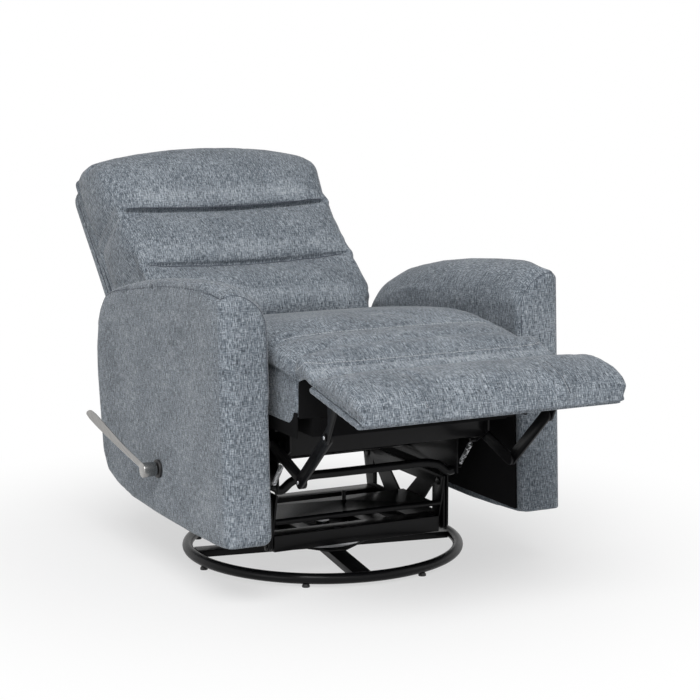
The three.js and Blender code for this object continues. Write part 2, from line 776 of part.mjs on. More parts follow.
add('lever_bezel', bezel(), blackPlastic());
add('release_shaft', releaseShaft(), blackSteel());
add('lever_handle', leverHandle(), satinMetal());

// Seat guides on the hanger plates; the seat plates' lugs run in them
function alongGuide(geometry) {
  return geometry.rotateX(guideTilt * degree).translate(0, 0, guideZ);
}

function seatGuide() {
  const half = guideHeight / 2;
  const along = [guideY - guideLength / 2, guideY + guideLength / 2];
  const solidBar = block([guideInnerX, guideOuterX], along, [-half, half]);
  const slot = block([guideInnerX + guideWall, guideOuterX + overrun], [along[0] - overrun, along[1] + overrun], [-half + guideWall, half - guideWall]);
  return alongGuide(cut(solidBar, slot));
}

addPair('seat_guide', seatGuide(), blackSteel);

// Seat side plates: lugs in the guide, a flange under the seat frame and an ear that holds the back
function seatSidePlate() {
  const lugHalf = guideHeight / 2 - guideWall - pinPlay;
  const lugs = [lugFrontY, lugFrontY + lugSpacing].map((y) => alongGuide(
    block([guideInnerX + guideWall + pinPlay, seatPlateX + seatGap], [y - lugLength / 2, y + lugLength / 2], [-lugHalf, lugHalf]),
  ));
  const tab = (y) => {
    const centreZ = guideZ + y * Math.sin(guideTilt * degree);
    return [[y - lugLength, seatPlateFootZ], [y - lugLength / 2, centreZ - lugHalf], [y + lugLength / 2, centreZ - lugHalf], [y + lugLength, seatPlateFootZ]];
  };
  const [pivotY, pivotZ] = footPivotA;
  const margin = footLinkWidth / 2;
  const outline = new THREE.Shape(points([
    [seatPlateFrontY, pivotZ], [pivotY - margin, seatPlateFootZ], ...tab(lugFrontY), ...tab(lugFrontY + lugSpacing),
    [seatPlateRearY, pivotZ], [seatPlateRearY, seatPlateTopZ], [seatPlateFrontY, seatPlateTopZ],
  ]));
  const outerX = seatEarX + plateThickness;
  const flangeZ = seatPlateTopZ - plateThickness;
  const earTopZ = seatPlateTopZ + seatFrameThickness - pinPlay;
  const ear = new THREE.Shape(points([
    [seatEarFrontY, flangeZ], [seatPlateRearY, flangeZ],
    [backPivotY + backHingeRadius, backPivotZ - backHingeRadius / 2], [backPivotY + backHingeRadius / 2, backPivotZ + backHingeRadius],
    [backPivotY - backHingeRadius, backPivotZ + backHingeRadius / 2], [seatRearY + sidePlay, earTopZ],
    [seatEarFrontY + seatEarWidth, earTopZ], [seatEarFrontY, seatPlateTopZ],
  ]));
  const plate = joined(
    acrossX(outline, seatPlateX, seatPlateX + plateThickness),
    rod(...springSeatPeg, springPegRadius, springX - springCoilRadius, seatPlateX + plateThickness / 2),
    block([seatPlateX, outerX], [seatPlateFrontY, seatPlateRearY], [flangeZ, seatPlateTopZ]),
    acrossX(ear, seatEarX, outerX),
    ...lugs,
  );
  return cut(plate, boreFor(footPivotA, seatPlateX), boreFor([backPivotY, backPivotZ], seatEarX));
}

addPair('seat_side_plate', seatSidePlate(), blackSteel);
const crossRailEnd = seatPlateX - seatGap;
add('front_cross_rail', joined(
  block([-crossRailEnd, crossRailEnd], [crossRailY, crossRailY + plateThickness], [crossRailZ, crossRailZ + crossRailHeight]),
  block([-crossRailEnd, crossRailEnd], [crossRailY, crossRailY + crossRailDepth], [crossRailZ, crossRailZ + plateThickness]),
), blackSteel());

// Seat frame: a deck with a rib at each end, and a board that stands up under the cushion's front
const seatFrameZ = seatPlateTopZ + seatGap;
const seatDeckZ = seatFrameZ + seatFrameThickness;
const seatBoardY = seatFrontY + sidePlay;
const seatBoardTopZ = seatFrontUnderZ - seatGap;

function seatFrame() {
  const ribTop = seatDeckZ - seatFrameThickness / 2;
  const [front, rear] = [seatFrameFrontY, seatFrameRearY];
  const outline = new THREE.Shape(points([
    [front, seatFrameZ], [front + seatFrameRib, seatFrameZ], [front + seatFrameRib, ribTop], [rear - seatFrameRib, ribTop],
    [rear - seatFrameRib, seatFrameZ], [rear, seatFrameZ], [rear, seatDeckZ], [front, seatDeckZ],
  ]));
  const across = [-seatFrontBoardHalfWidth, seatFrontBoardHalfWidth];
  const shelf = block(across, [seatBoardY, front + overrun], [seatFrameZ, seatDeckZ]);
  const board = block(across, [seatBoardY, seatBoardY + seatFrontBoardThickness], [seatFrameZ, seatBoardTopZ]);
  return joined(acrossX(outline, -seatFrameHalfWidth, seatFrameHalfWidth), shelf, board);
}

add('seat_frame', seatFrame(), timber());

// Seat cushion: rings in Y and Z across the width, crowned, with a sewn channel
const smooth = (share) => share * share * (3 - 2 * share);
const clamp = (value, low, high) => Math.min(Math.max(value, low), high);
const dip = (distance, width) => Math.exp(-((distance / width) ** 2));
const seatWidthShares = [0.955, 0.9532, 0.9, 0.75, 0.5, 0.22];
const seatTopShares = [[0, 0.842], [0.1, 0.926], [0.21, 0.98], [0.32, 1], [0.49, 0.926], [0.64, 0.842], [0.78, 0.751], [0.92, 0.65], [1, 0.6]];
const fillAcross = (share) => Math.sqrt(Math.max(0, 1 - Math.abs(share) ** 5));

function alongTable(table, at) {
  const next = table.findIndex(([start]) => start >= at);
  if (next <= 0) return table[next < 0 ? table.length - 1 : 0][1];
  const [[from, low], [to, high]] = [table[next - 1], table[next]];
  return low + (high - low) * (at - from) / (to - from);
}

function mirroredShares(shares) {
  return [...shares.map((share) => -share), 0, ...[...shares].reverse()];
}

function seatRing(share, inward) {
  const fill = fillAcross(share);
  const x = share * seatHalfWidth;
  const underZ = seatDeckZ + seatGap;
  const sideFall = (1 - fill ** 1.5) * seatEdgeFall * 2;
  const topAt = (y) => {
    const height = seatRise * alongTable(seatTopShares, (y - seatFrontY) / (seatRearY - seatFrontY));
    return seatDeckZ + height - sideFall - seatStitchDepth * dip(y - seatStitchY, seatStitchWidth) * fill - inward;
  };
  const front = seatFrontY + inward;
  const rear = seatRearY - inward;
  const step = seatEdgeFall;
  const rise = topAt(seatFrontY) - calfHingeZ;
  const nose = [[front, calfHingeZ], [front, calfHingeZ + 0.6 * rise], [front + step / 2, calfHingeZ + 0.92 * rise]];
  const stitch = [-2, -1, 0, 1, 2].map((k) => seatStitchY + k * seatStitchWidth / 1.5);
  const rest = [3.5, 6, 9, 14, 19, 24, 30].map((k) => seatStitchY + k * step);
  const crest = [front + 2 * step, ...stitch, ...rest].map((y) => [y, topAt(y)]);
  const heel = [[rear - 1.5 * step, topAt(seatRearY) + step / 3], [rear - step / 3, topAt(seatRearY) - step], [rear, topAt(seatRearY) - 2.5 * step], [rear, underZ + inward]];
  const skirt = Math.abs(x) > seatFrameHalfWidth + seatGap;
  const skirtZ = underZ - seatSkirtDrop;
  const boardRearY = seatBoardY + seatFrontBoardThickness + seatGap;
  const low = skirt
    ? [[seatSkirtRearY - step / 3, skirtZ], [boardRearY + step, skirtZ], [front + step / 2, skirtZ + step], [front, skirtZ + 3 * step]]
    : [[seatSkirtRearY - step / 3, underZ], [boardRearY, underZ], [boardRearY, seatFrontUnderZ], [front + step / 3, seatFrontUnderZ]];
  return [...nose, ...crest, ...heel, [seatSkirtRearY, underZ], ...low].map(([y, z]) => new THREE.Vector3(x, y, z));
}

function seatCushion() {
  const rings = mirroredShares(seatWidthShares).map((share) => seatRing(share, 0));
  const start = [seatRing(-1, seatDrawIn), seatRing(-0.985, seatDrawIn / 3)];
  const end = [seatRing(0.985, seatDrawIn / 3), seatRing(1, seatDrawIn)];
  return loft([...start, ...rings, ...end]);
}

add('seat_cushion', seatCushion(), fabric());

// Calf pad, hinged along the seat's front edge
function calfPad() {
  const rear = seatFrontY - 2 * seatGap;
  const front = rear - calfLength;
  const soft = calfTaper;
  const topZ = calfHingeZ + calfThickness;
  const frontTopZ = topZ - calfFrontFall;
  const outline = points([
    [rear, calfHingeZ], [rear, topZ - soft / 2], [rear - soft, topZ], [front + 3 * soft, frontTopZ], [front + soft / 2, frontTopZ - 1.5 * soft],
    [front, frontTopZ - 3 * soft], [front, calfHingeZ + 1.5 * soft], [front + 1.5 * soft, calfHingeZ],
  ]);
  const half = seatHalfWidth;
  const rows = [[-half, soft], [-half + soft, soft / 4], [-half + 3 * soft, 0], [half - 3 * soft, 0], [half - soft, soft / 4], [half, soft]];
  return panel(outline, rows, inSide);
}

add('calf_pad', calfPad(), fabric());

// Footrest: its board slopes down towards the front, turned about the lower front edge
const boardFrontY = boardRearY - boardLength;
const footTilted = (geometry) => geometry.translate(0, -boardFrontY, -boardUnderZ)
  .rotateX(footTilt * degree).translate(0, boardFrontY, boardUnderZ);

// Footrest linkage: front link on the seat plate, rear link, bracket under the board
const footLinkX = seatPlateX + plateThickness + sidePlay + seatGap * 3;
const ottomanLinkX = footLinkX + footLinkThickness + sidePlay;
const footBracketX = ottomanLinkX + footLinkThickness + sidePlay;

function footBracket() {
  const [pivotY, pivotZ] = footPivotB;
  const half = footLinkWidth / 2 - seatGap * 3;
  const rear = boardRearY - footBracketSetback;
  const front = pivotY - footBracketWidth;
  const underBoard = (y) => boardUnderZ - seatGap + (y - boardFrontY) * Math.tan(footTilt * degree);
  const outline = new THREE.Shape(points([
    [pivotY - half, pivotZ - half / 2], [pivotY - half / 2, pivotZ - half], [pivotY + half / 2, pivotZ - half], [pivotY + half, pivotZ],
    [rear, pivotZ + footLinkWidth], [rear, underBoard(rear)], [front, underBoard(front)], [front, underBoard(front) - half],
  ]));
  const flange = footTilted(block(
    [footBracketX - footBracketFlange, footBracketX + plateThickness],
    [boardFrontY + footBracketFlange, rear],
    [boardUnderZ - seatGap - plateThickness, boardUnderZ - seatGap],
  ));
  return cut(joined(acrossX(outline, footBracketX, footBracketX + plateThickness), flange), boreFor(footPivotB, footBracketX));
}

addPair('front_foot_link', joined(
  linkBar(footPivotA, footKnee, footLinkWidth, footLinkX, footLinkX + footLinkThickness),
  ...rivet(footPivotA, footLinkX, seatPlateX),
  ...rivet(footKnee, footLinkX + footLinkThickness, ottomanLinkX + footLinkThickness),
), blackSteel);
addPair('rear_foot_link', cut(joined(
  linkBar(footKnee, footPivotB, footLinkWidth, ottomanLinkX, ottomanLinkX + footLinkThickness),
  ...rivet(footPivotB, ottomanLinkX + footLinkThickness, footBracketX + plateThickness),
), boreFor(footKnee, ottomanLinkX)), blackSteel);
addPair('footrest_bracket', footBracket(), blackSteel);

// Footrest board and pad
function footBoard() {
  const half = boardHalfWidth;
  const outline = points([
    [-half, boardFrontY], [half, boardFrontY], [half, boardRearY], [-half, boardRearY],
  ]);
  const top = boardUnderZ + boardThickness;
  const rows = [[boardUnderZ, boardEdge], [boardUnderZ + boardEdge, 0], [top - boardEdge, 0], [top, boardEdge]];
  return panel(outline, rows, (x, y, z) => new THREE.Vector3(x, y, z));
}

add('footrest_board', footTilted(footBoard()), fabric());

// Outline of the pad from its rear edge over the crown to the front lip: shares of its depth and height
const padProfileShares = [
  [0.02, 0], [0, 0.2], [0.012, 0.36], [0.06, 0.52], [0.18, 0.68], [0.36, 0.85], [0.56, 0.95], [0.74, 0.93], [0.87, 0.79],
  [0.95, 0.55], [0.99, 0.28], [1, 0.02], [0.975, -0.2], [0.935, -0.22], [0.91, -0.005], [0.5, 0],
];

function padRing(share, inward) {
  const fill = fillAcross(share);
  const x = share * boardHalfWidth;
  const height = padEdgeHeight + (padHeight - padEdgeHeight) * fill;
  const channels = dip(Math.abs(x) - padChannelX, padChannelWidth) * padChannelDepth;
  const baseZ = boardUnderZ + boardThickness + seatGap;
  const depth = boardLength + padOverhang;
  return padProfileShares.map(([back, up]) => {
    const lift = up > 0.1 ? up * height - channels * smooth(up) - inward : up * boardThickness;
    const y = boardRearY - back * depth;
    const inset = clamp(back - 0.5, -0.5, 0.5) * 2 * inward;
    return new THREE.Vector3(x, y + inset, baseZ + Math.max(lift, up < 0 ? -boardThickness : 0));
  });
}

function footPad() {
  const near = padChannelWidth / boardHalfWidth;
  const mid = padChannelX / boardHalfWidth;
  const shares = [0.93, 0.84, 0.66, mid + 1.6 * near, mid + 0.6 * near, mid, mid - 0.6 * near, mid - 1.6 * near];
  const rings = mirroredShares(shares).map((share) => padRing(share, 0));
  const start = [padRing(-1, padDrawIn), padRing(-0.985, padDrawIn / 3)];
  const end = [padRing(0.985, padDrawIn / 3), padRing(1, padDrawIn)];
  return loft([...start, ...rings, ...end]);
}

add('footrest_pad', footTilted(footPad()), fabric());

// Back group: turned about the hinge
const back = new THREE.Group();
back.position.set(0, backPivotY, backPivotZ);
back.rotation.x = backRecline * degree;
chair.add(back);

function backOutline(foot) {
  const half = backHalfWidth;
  const shoulder = backTopZ - backTopArch;
  const corner = backCornerRadius;
  const cornerTurns = [0, 0.25, 0.5, 0.75].map((share) => share * turn / 4);
  const rounded = cornerTurns.map((angle) => [half - corner + corner * Math.cos(angle), shoulder - corner + corner * Math.sin(angle)]);
  const arch = [0.88, 0.7, 0.45, 0.2].map((share) => [share * half, backTopZ - backTopArch * share * share]);
  const side = [[half, foot], ...rounded, ...arch];
  return points([...side, [0, backTopZ], ...side.reverse().map(([x, z]) => [-x, z])]);
}

function backSlab(from, thickness, soft, foot) {
  const rows = [[from, 0], [from + thickness - soft, 0], [from + thickness - soft / 3, soft / 4], [from + thickness, soft]];
  return panel(backOutline(foot), rows, inFront);
}

add('back_frame', backSlab(backFrontFace, backFrameThickness, seatGap, backFootZ), timber(), back);
add('back_panel', backSlab(backFrontFace + backFrameThickness + seatGap, backPanelThickness, backEdge, backFootZ), fabric(), back);

function backHingePlate() {
  const x0 = seatEarX + plateThickness + sidePlay;
  const radius = backHingeRadius;
  const face = backFrontFace - seatGap;
  const outline = new THREE.Shape(points([
    [radius, radius / 2], [radius / 2, radius], [-radius / 2, radius], [-radius, radius / 2], [-radius, -radius / 2], [0, -radius],
    [face, backFootZ + radius], [face, 0],
  ]));
  const plate = acrossX(outline, x0, x0 + plateThickness);
  const flange = block([x0 - backHingeFlange, x0 + plateThickness], [face - plateThickness, face], [backFootZ + radius, 0]);
  return joined(plate, flange, ...rivet([0, 0], x0, seatEarX));
}

addPair('back_hinge', backHingePlate(), blackSteel, back);

// Back cushion profile up the back: shares of its height, then of its reach at the centre line and at the sides
const backProfileShares = [
  [-0.069, -0.938, -0.938], [-0.054, -0.34, -0.34], [-0.04, 0.26, 0.24], [-0.027, 0.67, 0.6], [-0.011, 0.83, 0.72],
  [0.014, 0.94, 0.77], [0.058, 1, 0.744], [0.112, 0.983, 0.714], [0.167, 0.897, 0.684], [0.217, 0.778, 0.658],
  [0.254, 0.65, 0.637], [0.27, 0.51, 0.628], [0.283, 0.632, 0.62], [0.3, 0.752, 0.61], [0.33, 0.812, 0.594],
  [0.384, 0.786, 0.564], [0.453, 0.718, 0.526], [0.514, 0.615, 0.491], [0.549, 0.496, 0.47], [0.563, 0.4, 0.462],
  [0.576, 0.513, 0.457], [0.592, 0.65, 0.449], [0.62, 0.735, 0.432], [0.681, 0.726, 0.397], [0.757, 0.65, 0.355],
  [0.833, 0.496, 0.3], [0.906, 0.265, 0.12], [0.964, -0.017, -0.137], [0.993, -0.342, -0.427], [1.003, -0.65, -0.7],
  [1, -0.938, -0.938], [0.72, -0.938, -0.938], [0.33, -0.938, -0.938], [0.11, -0.938, -0.938],
  [0.025, -0.938, -0.938],
];
const backWidthShares = [0.985, 0.95, 0.88, 0.76, 0.55, 0.28];

function backHalfWidthAt(z) {
  const rise = smooth(clamp((z - backNarrowTopZ) / (backWideFootZ - backNarrowTopZ), 0, 1));
  const swell = Math.max(0, Math.sin(clamp((z / backTopZ - 0.66) / 0.36, 0, 1) * turn / 2));
  return backNarrowHalfWidth + (backHalfWidth - backNarrowHalfWidth) * rise + backTopFullness * swell;
}

function backRing(share, softness) {
  const sideways = Math.abs(share) ** 3.2;
  const rearFace = seatGap - backFrontFace;
  return backProfileShares.map(([up, centre, side]) => {
    const high = smooth(clamp((up - 0.72) / 0.2, 0, 1));
    const grooved = smooth(clamp((up - 0.15) / 0.08, 0, 1)) * (1 - high);
    const height = backTopZ * up + (grooved * backGrooveRise - high * backTopArch) * share * share - high * softness / 2;
    const reach = backReach * (centre + (side - centre) * sideways) - (centre > -0.9 ? softness : 0);
    return new THREE.Vector3(share * backHalfWidthAt(height), -Math.max(reach, rearFace), height);
  });
}

function backCushion() {
  const rings = mirroredShares(backWidthShares).map((share) => backRing(share, 0));
  const soft = backSideSoftness;
  const start = [backRing(-1, soft), backRing(-0.99, soft / 3)];
  const end = [backRing(0.99, soft / 3), backRing(1, soft)];
  return loft([...start, ...rings.slice(1, -1), ...end]);
}

add('back_cushion', backCushion(), fabric(), back);

// Return springs: one unbroken coil each, from the hanger plate's peg to the seat plate's peg
const springSteps = 8;
const springSides = 5;
const springLead = 2 * springWireRadius;
const springAxis = new THREE.Vector3(0, springSeatPeg[0] - springHangerPeg[0], springSeatPeg[1] - springHangerPeg[1]);
const springReach = springAxis.length() - 2 * (springPegRadius + seatGap);
springAxis.normalize();
const springStart = new THREE.Vector3(springX, ...springHangerPeg).addScaledVector(springAxis, springPegRadius + seatGap);

function springCentres() {
  const across = new THREE.Vector3(1, 0, 0);
  const other = springAxis.clone().cross(across);
  const at = (distance, radius, angle) => springStart.clone().addScaledVector(springAxis, distance)
    .addScaledVector(across, radius * Math.cos(angle)).addScaledVector(other, radius * Math.sin(angle));
  const total = springTurns * springSteps;
  const coiled = Array.from({ length: total - 1 }, (_, k) => {
    const i = k + 1;
    const grow = Math.min(1, i / 4, (total - i) / 4);
    return at(springLead + (springReach - 2 * springLead) * i / total, springCoilRadius * grow, turn * i / springSteps);
  });
  return [at(0, 0, 0), at(springLead, 0, 0), ...coiled, at(springReach - springLead, 0, 0), at(springReach, 0, 0)];
}

function spring() {
  const centres = springCentres();
  const rings = centres.map((centre, i) => {
    const ends = i < 2 || i > centres.length - 3;
    const before = centres[Math.max(i - 1, 0)];
    const after = centres[Math.min(i + 1, centres.length - 1)];
    const tangent = ends ? springAxis.clone() : after.clone().sub(before).normalize();
    const side = springAxis.clone().cross(new THREE.Vector3(1, 0, 0)).cross(tangent).normalize();
    const up = tangent.clone().cross(side);
    return Array.from({ length: springSides }, (_, k) => centre.clone()
      .addScaledVector(side, springWireRadius * Math.cos(turn * k / springSides))
      .addScaledVector(up, springWireRadius * Math.sin(turn * k / springSides)));
  });
  return loft(rings);
}

// Least clear distance between parts of the wire that are over half a turn apart
function springGap() {
  const centres = springCentres();
  let least = Infinity;
  centres.forEach((from, i) => centres.slice(i + springSteps / 2).forEach((to) => {
    least = Math.min(least, from.distanceTo(to));
  }));
  return least - 2 * springWireRadius;
}

addPair('return_spring', spring(), brightSteel);
console.log(`return spring: least gap to itself ${springGap().toFixed(2)} mm`);

// The finished part stands on the floor with its origin under the middle of its outline
const part = new THREE.Group();
part.add(chair);
chair.updateMatrixWorld(true);
const outlineBox = new THREE.Box3().setFromObject(chair, true);
const middle = outlineBox.getCenter(new THREE.Vector3());
chair.position.set(-middle.x, -middle.y, 0);

export default part;
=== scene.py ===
# %% [markdown]
# A swivel glider recliner, reclined with its footrest out.
# The steel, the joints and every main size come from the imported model, which is loaded first and never moved.
# This script then upholsters the chair, finishes the steel and lights it.

# %% Load the frame
import json
import math

import bmesh
import bpy
import numpy as np
from mathutils import Matrix, Vector
from mathutils.bvhtree import BVHTree


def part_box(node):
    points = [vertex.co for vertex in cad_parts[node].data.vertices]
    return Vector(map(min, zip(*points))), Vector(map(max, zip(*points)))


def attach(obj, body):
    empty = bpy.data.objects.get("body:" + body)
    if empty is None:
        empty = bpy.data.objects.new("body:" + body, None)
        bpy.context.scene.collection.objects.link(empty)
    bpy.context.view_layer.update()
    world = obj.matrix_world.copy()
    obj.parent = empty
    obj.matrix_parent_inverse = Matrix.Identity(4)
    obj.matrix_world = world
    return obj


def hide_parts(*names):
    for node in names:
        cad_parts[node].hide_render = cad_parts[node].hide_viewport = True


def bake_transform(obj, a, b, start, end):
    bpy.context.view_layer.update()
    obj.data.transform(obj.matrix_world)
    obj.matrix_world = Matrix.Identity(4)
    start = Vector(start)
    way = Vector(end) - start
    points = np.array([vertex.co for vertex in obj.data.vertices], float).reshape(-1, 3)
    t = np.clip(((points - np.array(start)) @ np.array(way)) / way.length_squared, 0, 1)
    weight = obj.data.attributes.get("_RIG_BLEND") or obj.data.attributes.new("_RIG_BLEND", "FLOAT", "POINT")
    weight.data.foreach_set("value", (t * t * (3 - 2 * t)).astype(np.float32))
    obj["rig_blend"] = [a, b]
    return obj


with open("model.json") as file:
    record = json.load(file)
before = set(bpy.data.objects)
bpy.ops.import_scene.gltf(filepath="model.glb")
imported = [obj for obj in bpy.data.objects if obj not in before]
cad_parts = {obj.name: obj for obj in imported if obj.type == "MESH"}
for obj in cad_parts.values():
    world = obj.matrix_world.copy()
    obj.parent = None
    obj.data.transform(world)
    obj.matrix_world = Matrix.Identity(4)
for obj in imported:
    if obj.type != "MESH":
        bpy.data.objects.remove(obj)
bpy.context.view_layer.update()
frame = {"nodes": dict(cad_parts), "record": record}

# %% [markdown]
# The chair turns about its swivel bolt, so places on it are easiest to give in millimetres from that axis.
# The back leans about its own hinge and has its own directions:
# across, forward out of the cushion, and up along it.
# The footrest slopes down to the front. Its places are given as if it lay level,
# and then turned about the board's lower front edge.

# %% Places on the chair
low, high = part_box("swivel_bolt")
axis_x, axis_y = (low.x + high.x) / 2, (low.y + high.y) / 2
lean = math.radians(42.7)
hinge_y, hinge_z = 310, 417
foot_tilt = math.radians(10)
board_front_y, board_under_z = -700, 413


def at(x, y, z):
    return Vector((axis_x + x / 1000, axis_y + y / 1000, z / 1000))


def on_back(x, out, up):
    y = hinge_y - out * math.cos(lean) + up * math.sin(lean)
    z = hinge_z + out * math.sin(lean) + up * math.cos(lean)
    return at(x, y, z)


def chair_places(co):
    return (co - np.array([axis_x, axis_y, 0])) * 1000


def back_places(co):
    mm = chair_places(co)
    y, z = mm[:, 1] - hinge_y, mm[:, 2] - hinge_z
    out = -y * math.cos(lean) + z * math.sin(lean)
    up = y * math.sin(lean) + z * math.cos(lean)
    return np.stack([mm[:, 0], out, up], 1)


def foot_turned(y, z, angle):
    y, z = y - board_front_y, z - board_under_z
    turned_y = y * math.cos(angle) - z * math.sin(angle)
    turned_z = y * math.sin(angle) + z * math.cos(angle)
    return turned_y + board_front_y, turned_z + board_under_z


def foot_places(co):
    mm = chair_places(co)
    return np.stack([mm[:, 0], *foot_turned(mm[:, 1], mm[:, 2], -foot_tilt)], 1)


def on_foot(x, y, z):
    return at(x, *foot_turned(y, z, foot_tilt))


print("swivel axis at", round(axis_x, 4), round(axis_y, 4))

# %% [markdown]
# The camera comes first. It stands where the photograph's perspective puts it:
# low, to the sitter's right, with a long lens. A direction vector aims it, so it needs no constraint.

# %% Camera
camera = bpy.data.objects.new("camera", bpy.data.cameras.new("camera"))
bpy.context.collection.objects.link(camera)
aim = at(58.478, -12.438, 427.801)
heading, height_angle = -0.4706, 0.16897
camera_distance = 4.544588
sensor_width, frame_pixels, focal_pixels = 36, 700, 2166.922
towards_camera = Vector((
    math.sin(heading) * math.cos(height_angle),
    -math.cos(heading) * math.cos(height_angle),
    math.sin(height_angle),
))
camera.location = aim + towards_camera * camera_distance
camera.rotation_mode = "QUATERNION"
camera.rotation_quaternion = (-towards_camera).to_track_quat("-Z", "Y")
camera.data.sensor_width = sensor_width
camera.data.lens = focal_pixels / frame_pixels * sensor_width
camera.data.dof.use_dof = False
bpy.context.scene.camera = camera
print("lens", round(camera.data.lens, 1), "mm")

# %% [markdown]
# Materials are node graphs. Each one is made by a small function, so that its numbers stand together.
# A value that is the same all over a surface is set on the shader's own socket.

# %% Helpers for materials


def shader(name, color, roughness, metallic=0.0, sheen=0.0):
    material = bpy.data.materials.new(name)
    material.use_nodes = True
    nodes = material.node_tree.nodes
    principled = nodes["Principled BSDF"]
    principled.inputs["Base Color"].default_value = (*color, 1)
    principled.inputs["Roughness"].default_value = roughness
    principled.inputs["Metallic"].default_value = metallic
    principled.inputs["Sheen Weight"].default_value = sheen
    principled.inputs["Sheen Roughness"].default_value = 0.4
    return material, nodes, material.node_tree.links, principled


def noise(nodes, links, source, stretch, scale, detail=2.0):
    mapping = nodes.new("ShaderNodeMapping")
    mapping.inputs["Scale"].default_value = stretch
    texture = nodes.new("ShaderNodeTexNoise")
    texture.inputs["Scale"].default_value = scale
    texture.inputs["Detail"].default_value = detail
    links.new(source, mapping.inputs["Vector"])
    links.new(mapping.outputs["Vector"], texture.inputs["Vector"])
    return texture.outputs["Fac"]


def mathematics(nodes, links, operation, first, second):
    node = nodes.new("ShaderNodeMath")
    node.operation = operation
    for socket, value in zip(node.inputs, (first, second)):
        if isinstance(value, (int, float)):
            socket.default_value = value
        else:
            links.new(value, socket)
    return node.outputs[0]


def ramp(nodes, links, source, stops):
    node = nodes.new("ShaderNodeValToRGB")
    elements = node.color_ramp.elements
    while len(elements) < len(stops):
        elements.new(0.5)
    for element, (position, color) in zip(elements, stops):
        element.position = position
        element.color = (*color, 1)
    links.new(source, node.inputs["Fac"])
    return node.outputs["Color"]


def bump(nodes, links, principled, height, distance, strength=1.0):
    node = nodes.new("ShaderNodeBump")
    node.inputs["Distance"].default_value = distance
    node.inputs["Strength"].default_value = strength
    links.new(height, node.inputs["Height"])
    links.new(node.outputs["Normal"], principled.inputs["Normal"])


# %% [markdown]
# The upholstery is a heathered plain weave. Threads of slate, blue-grey and near white run both ways,
# with thicker slubs among them. A picture of cloth would repeat, so stretched noises stand for the threads:
# each has its stretch, its scale and its share of the whole. They read a UV map in metres,
# so the weave has one scale everywhere. A painted highlight makes the cloth paler where a mesh attribute marks
# it, next to folds and seams.

# %% Upholstery cloth
thread_noises = (
    ((1.0, 0.1, 1), 1000, 0.36),  # fine threads up and down
    ((0.12, 1.0, 1), 1100, 0.22),  # fine threads across
    ((1.0, 0.08, 1), 500, 0.2),  # slubs up and down
    ((0.09, 1.0, 1), 560, 0.14),  # slubs across
    ((1.0, 1.0, 1), 9, 0.08),  # a faint cloud over all
)
# painted highlight: how much paler the cloth is painted where the attribute marks it
painted_highlight_share = 0.03


def woven_cloth(name, dark, middle, pale, sheen=0.2, gloss=0.5):
    material, nodes, links, principled = shader(name, middle, 0.92, sheen=sheen)
    principled.inputs["Specular IOR Level"].default_value = gloss
    uv = nodes.new("ShaderNodeUVMap").outputs["UV"]
    threads = 0.0
    for stretch, scale, share in thread_noises:
        part = mathematics(nodes, links, "MULTIPLY", noise(nodes, links, uv, stretch, scale), share)
        threads = mathematics(nodes, links, "ADD", threads, part)
    # painted highlight: the attribute moves the threads towards the pale end of the ramp
    painted_highlight = nodes.new("ShaderNodeAttribute")
    painted_highlight.attribute_name = "painted_highlight"
    paler = mathematics(nodes, links, "MULTIPLY", painted_highlight.outputs["Fac"], painted_highlight_share)
    threads = mathematics(nodes, links, "ADD", threads, paler)
    color = ramp(nodes, links, threads, [(0.425, dark), (0.5, middle), (0.585, pale)])
    links.new(color, principled.inputs["Base Color"])
    bump(nodes, links, principled, threads, 0.0008, 0.5)
    return material


slate, blue_grey, near_white = (0.036, 0.044, 0.055), (0.148, 0.175, 0.205), (0.42, 0.455, 0.49)
upholstery = woven_cloth("woven_upholstery", slate, blue_grey, near_white)
blacks = (0.002, 0.002, 0.0025), (0.005, 0.005, 0.0055), (0.011, 0.011, 0.012)
lining = woven_cloth("black_lining_cloth", *blacks, sheen=0.0, gloss=0.12)
print("cloths:", upholstery.name, "and", lining.name)

# %% [markdown]
# The mechanism is pressed steel under half-gloss black paint. Paint is never quite even,
# so a fine noise moves its roughness and its surface a little, and a coarse one stands for dust.
# The lever is satin plated metal with a fine grain along it, and the small bright parts are zinc plated.

# %% Metals and plastics


def painted_steel(name, color, roughness):
    material, nodes, links, principled = shader(name, color, roughness)
    principled.inputs["Coat Weight"].default_value = 0.12
    principled.inputs["Coat Roughness"].default_value = 0.15
    principled.inputs["Specular IOR Level"].default_value = 0.1
    where = nodes.new("ShaderNodeTexCoord").outputs["Object"]
    specks = noise(nodes, links, where, (1, 1, 1), 260, 4)
    dust = noise(nodes, links, where, (1, 1, 1), 14, 3)
    shade = ramp(nodes, links, dust, [(0.35, color), (0.75, tuple(c * 1.9 for c in color))])
    links.new(shade, principled.inputs["Base Color"])
    rough = nodes.new("ShaderNodeMapRange")
    rough.inputs["To Min"].default_value = roughness * 0.75
    rough.inputs["To Max"].default_value = roughness * 1.35
    links.new(specks, rough.inputs["Value"])
    links.new(rough.outputs["Result"], principled.inputs["Roughness"])
    bump(nodes, links, principled, specks, 0.0004, 0.35)
    return material


def grained_metal(name, color, roughness, stretch):
    material, nodes, links, principled = shader(name, color, roughness, metallic=1.0)
    where = nodes.new("ShaderNodeTexCoord").outputs["Object"]
    grain = noise(nodes, links, where, stretch, 900, 3)
    shade = ramp(nodes, links, grain, [(0.3, tuple(c * 0.82 for c in color)), (0.7, color)])
    links.new(shade, principled.inputs["Base Color"])
    bump(nodes, links, principled, grain, 0.0002, 0.3)
    return material


def moulded_plastic(name, color, roughness):
    material, nodes, links, principled = shader(name, color, roughness)
    where = nodes.new("ShaderNodeTexCoord").outputs["Object"]
    bump(nodes, links, principled, noise(nodes, links, where, (1, 1, 1), 1400, 2), 0.0003, 0.4)
    return material


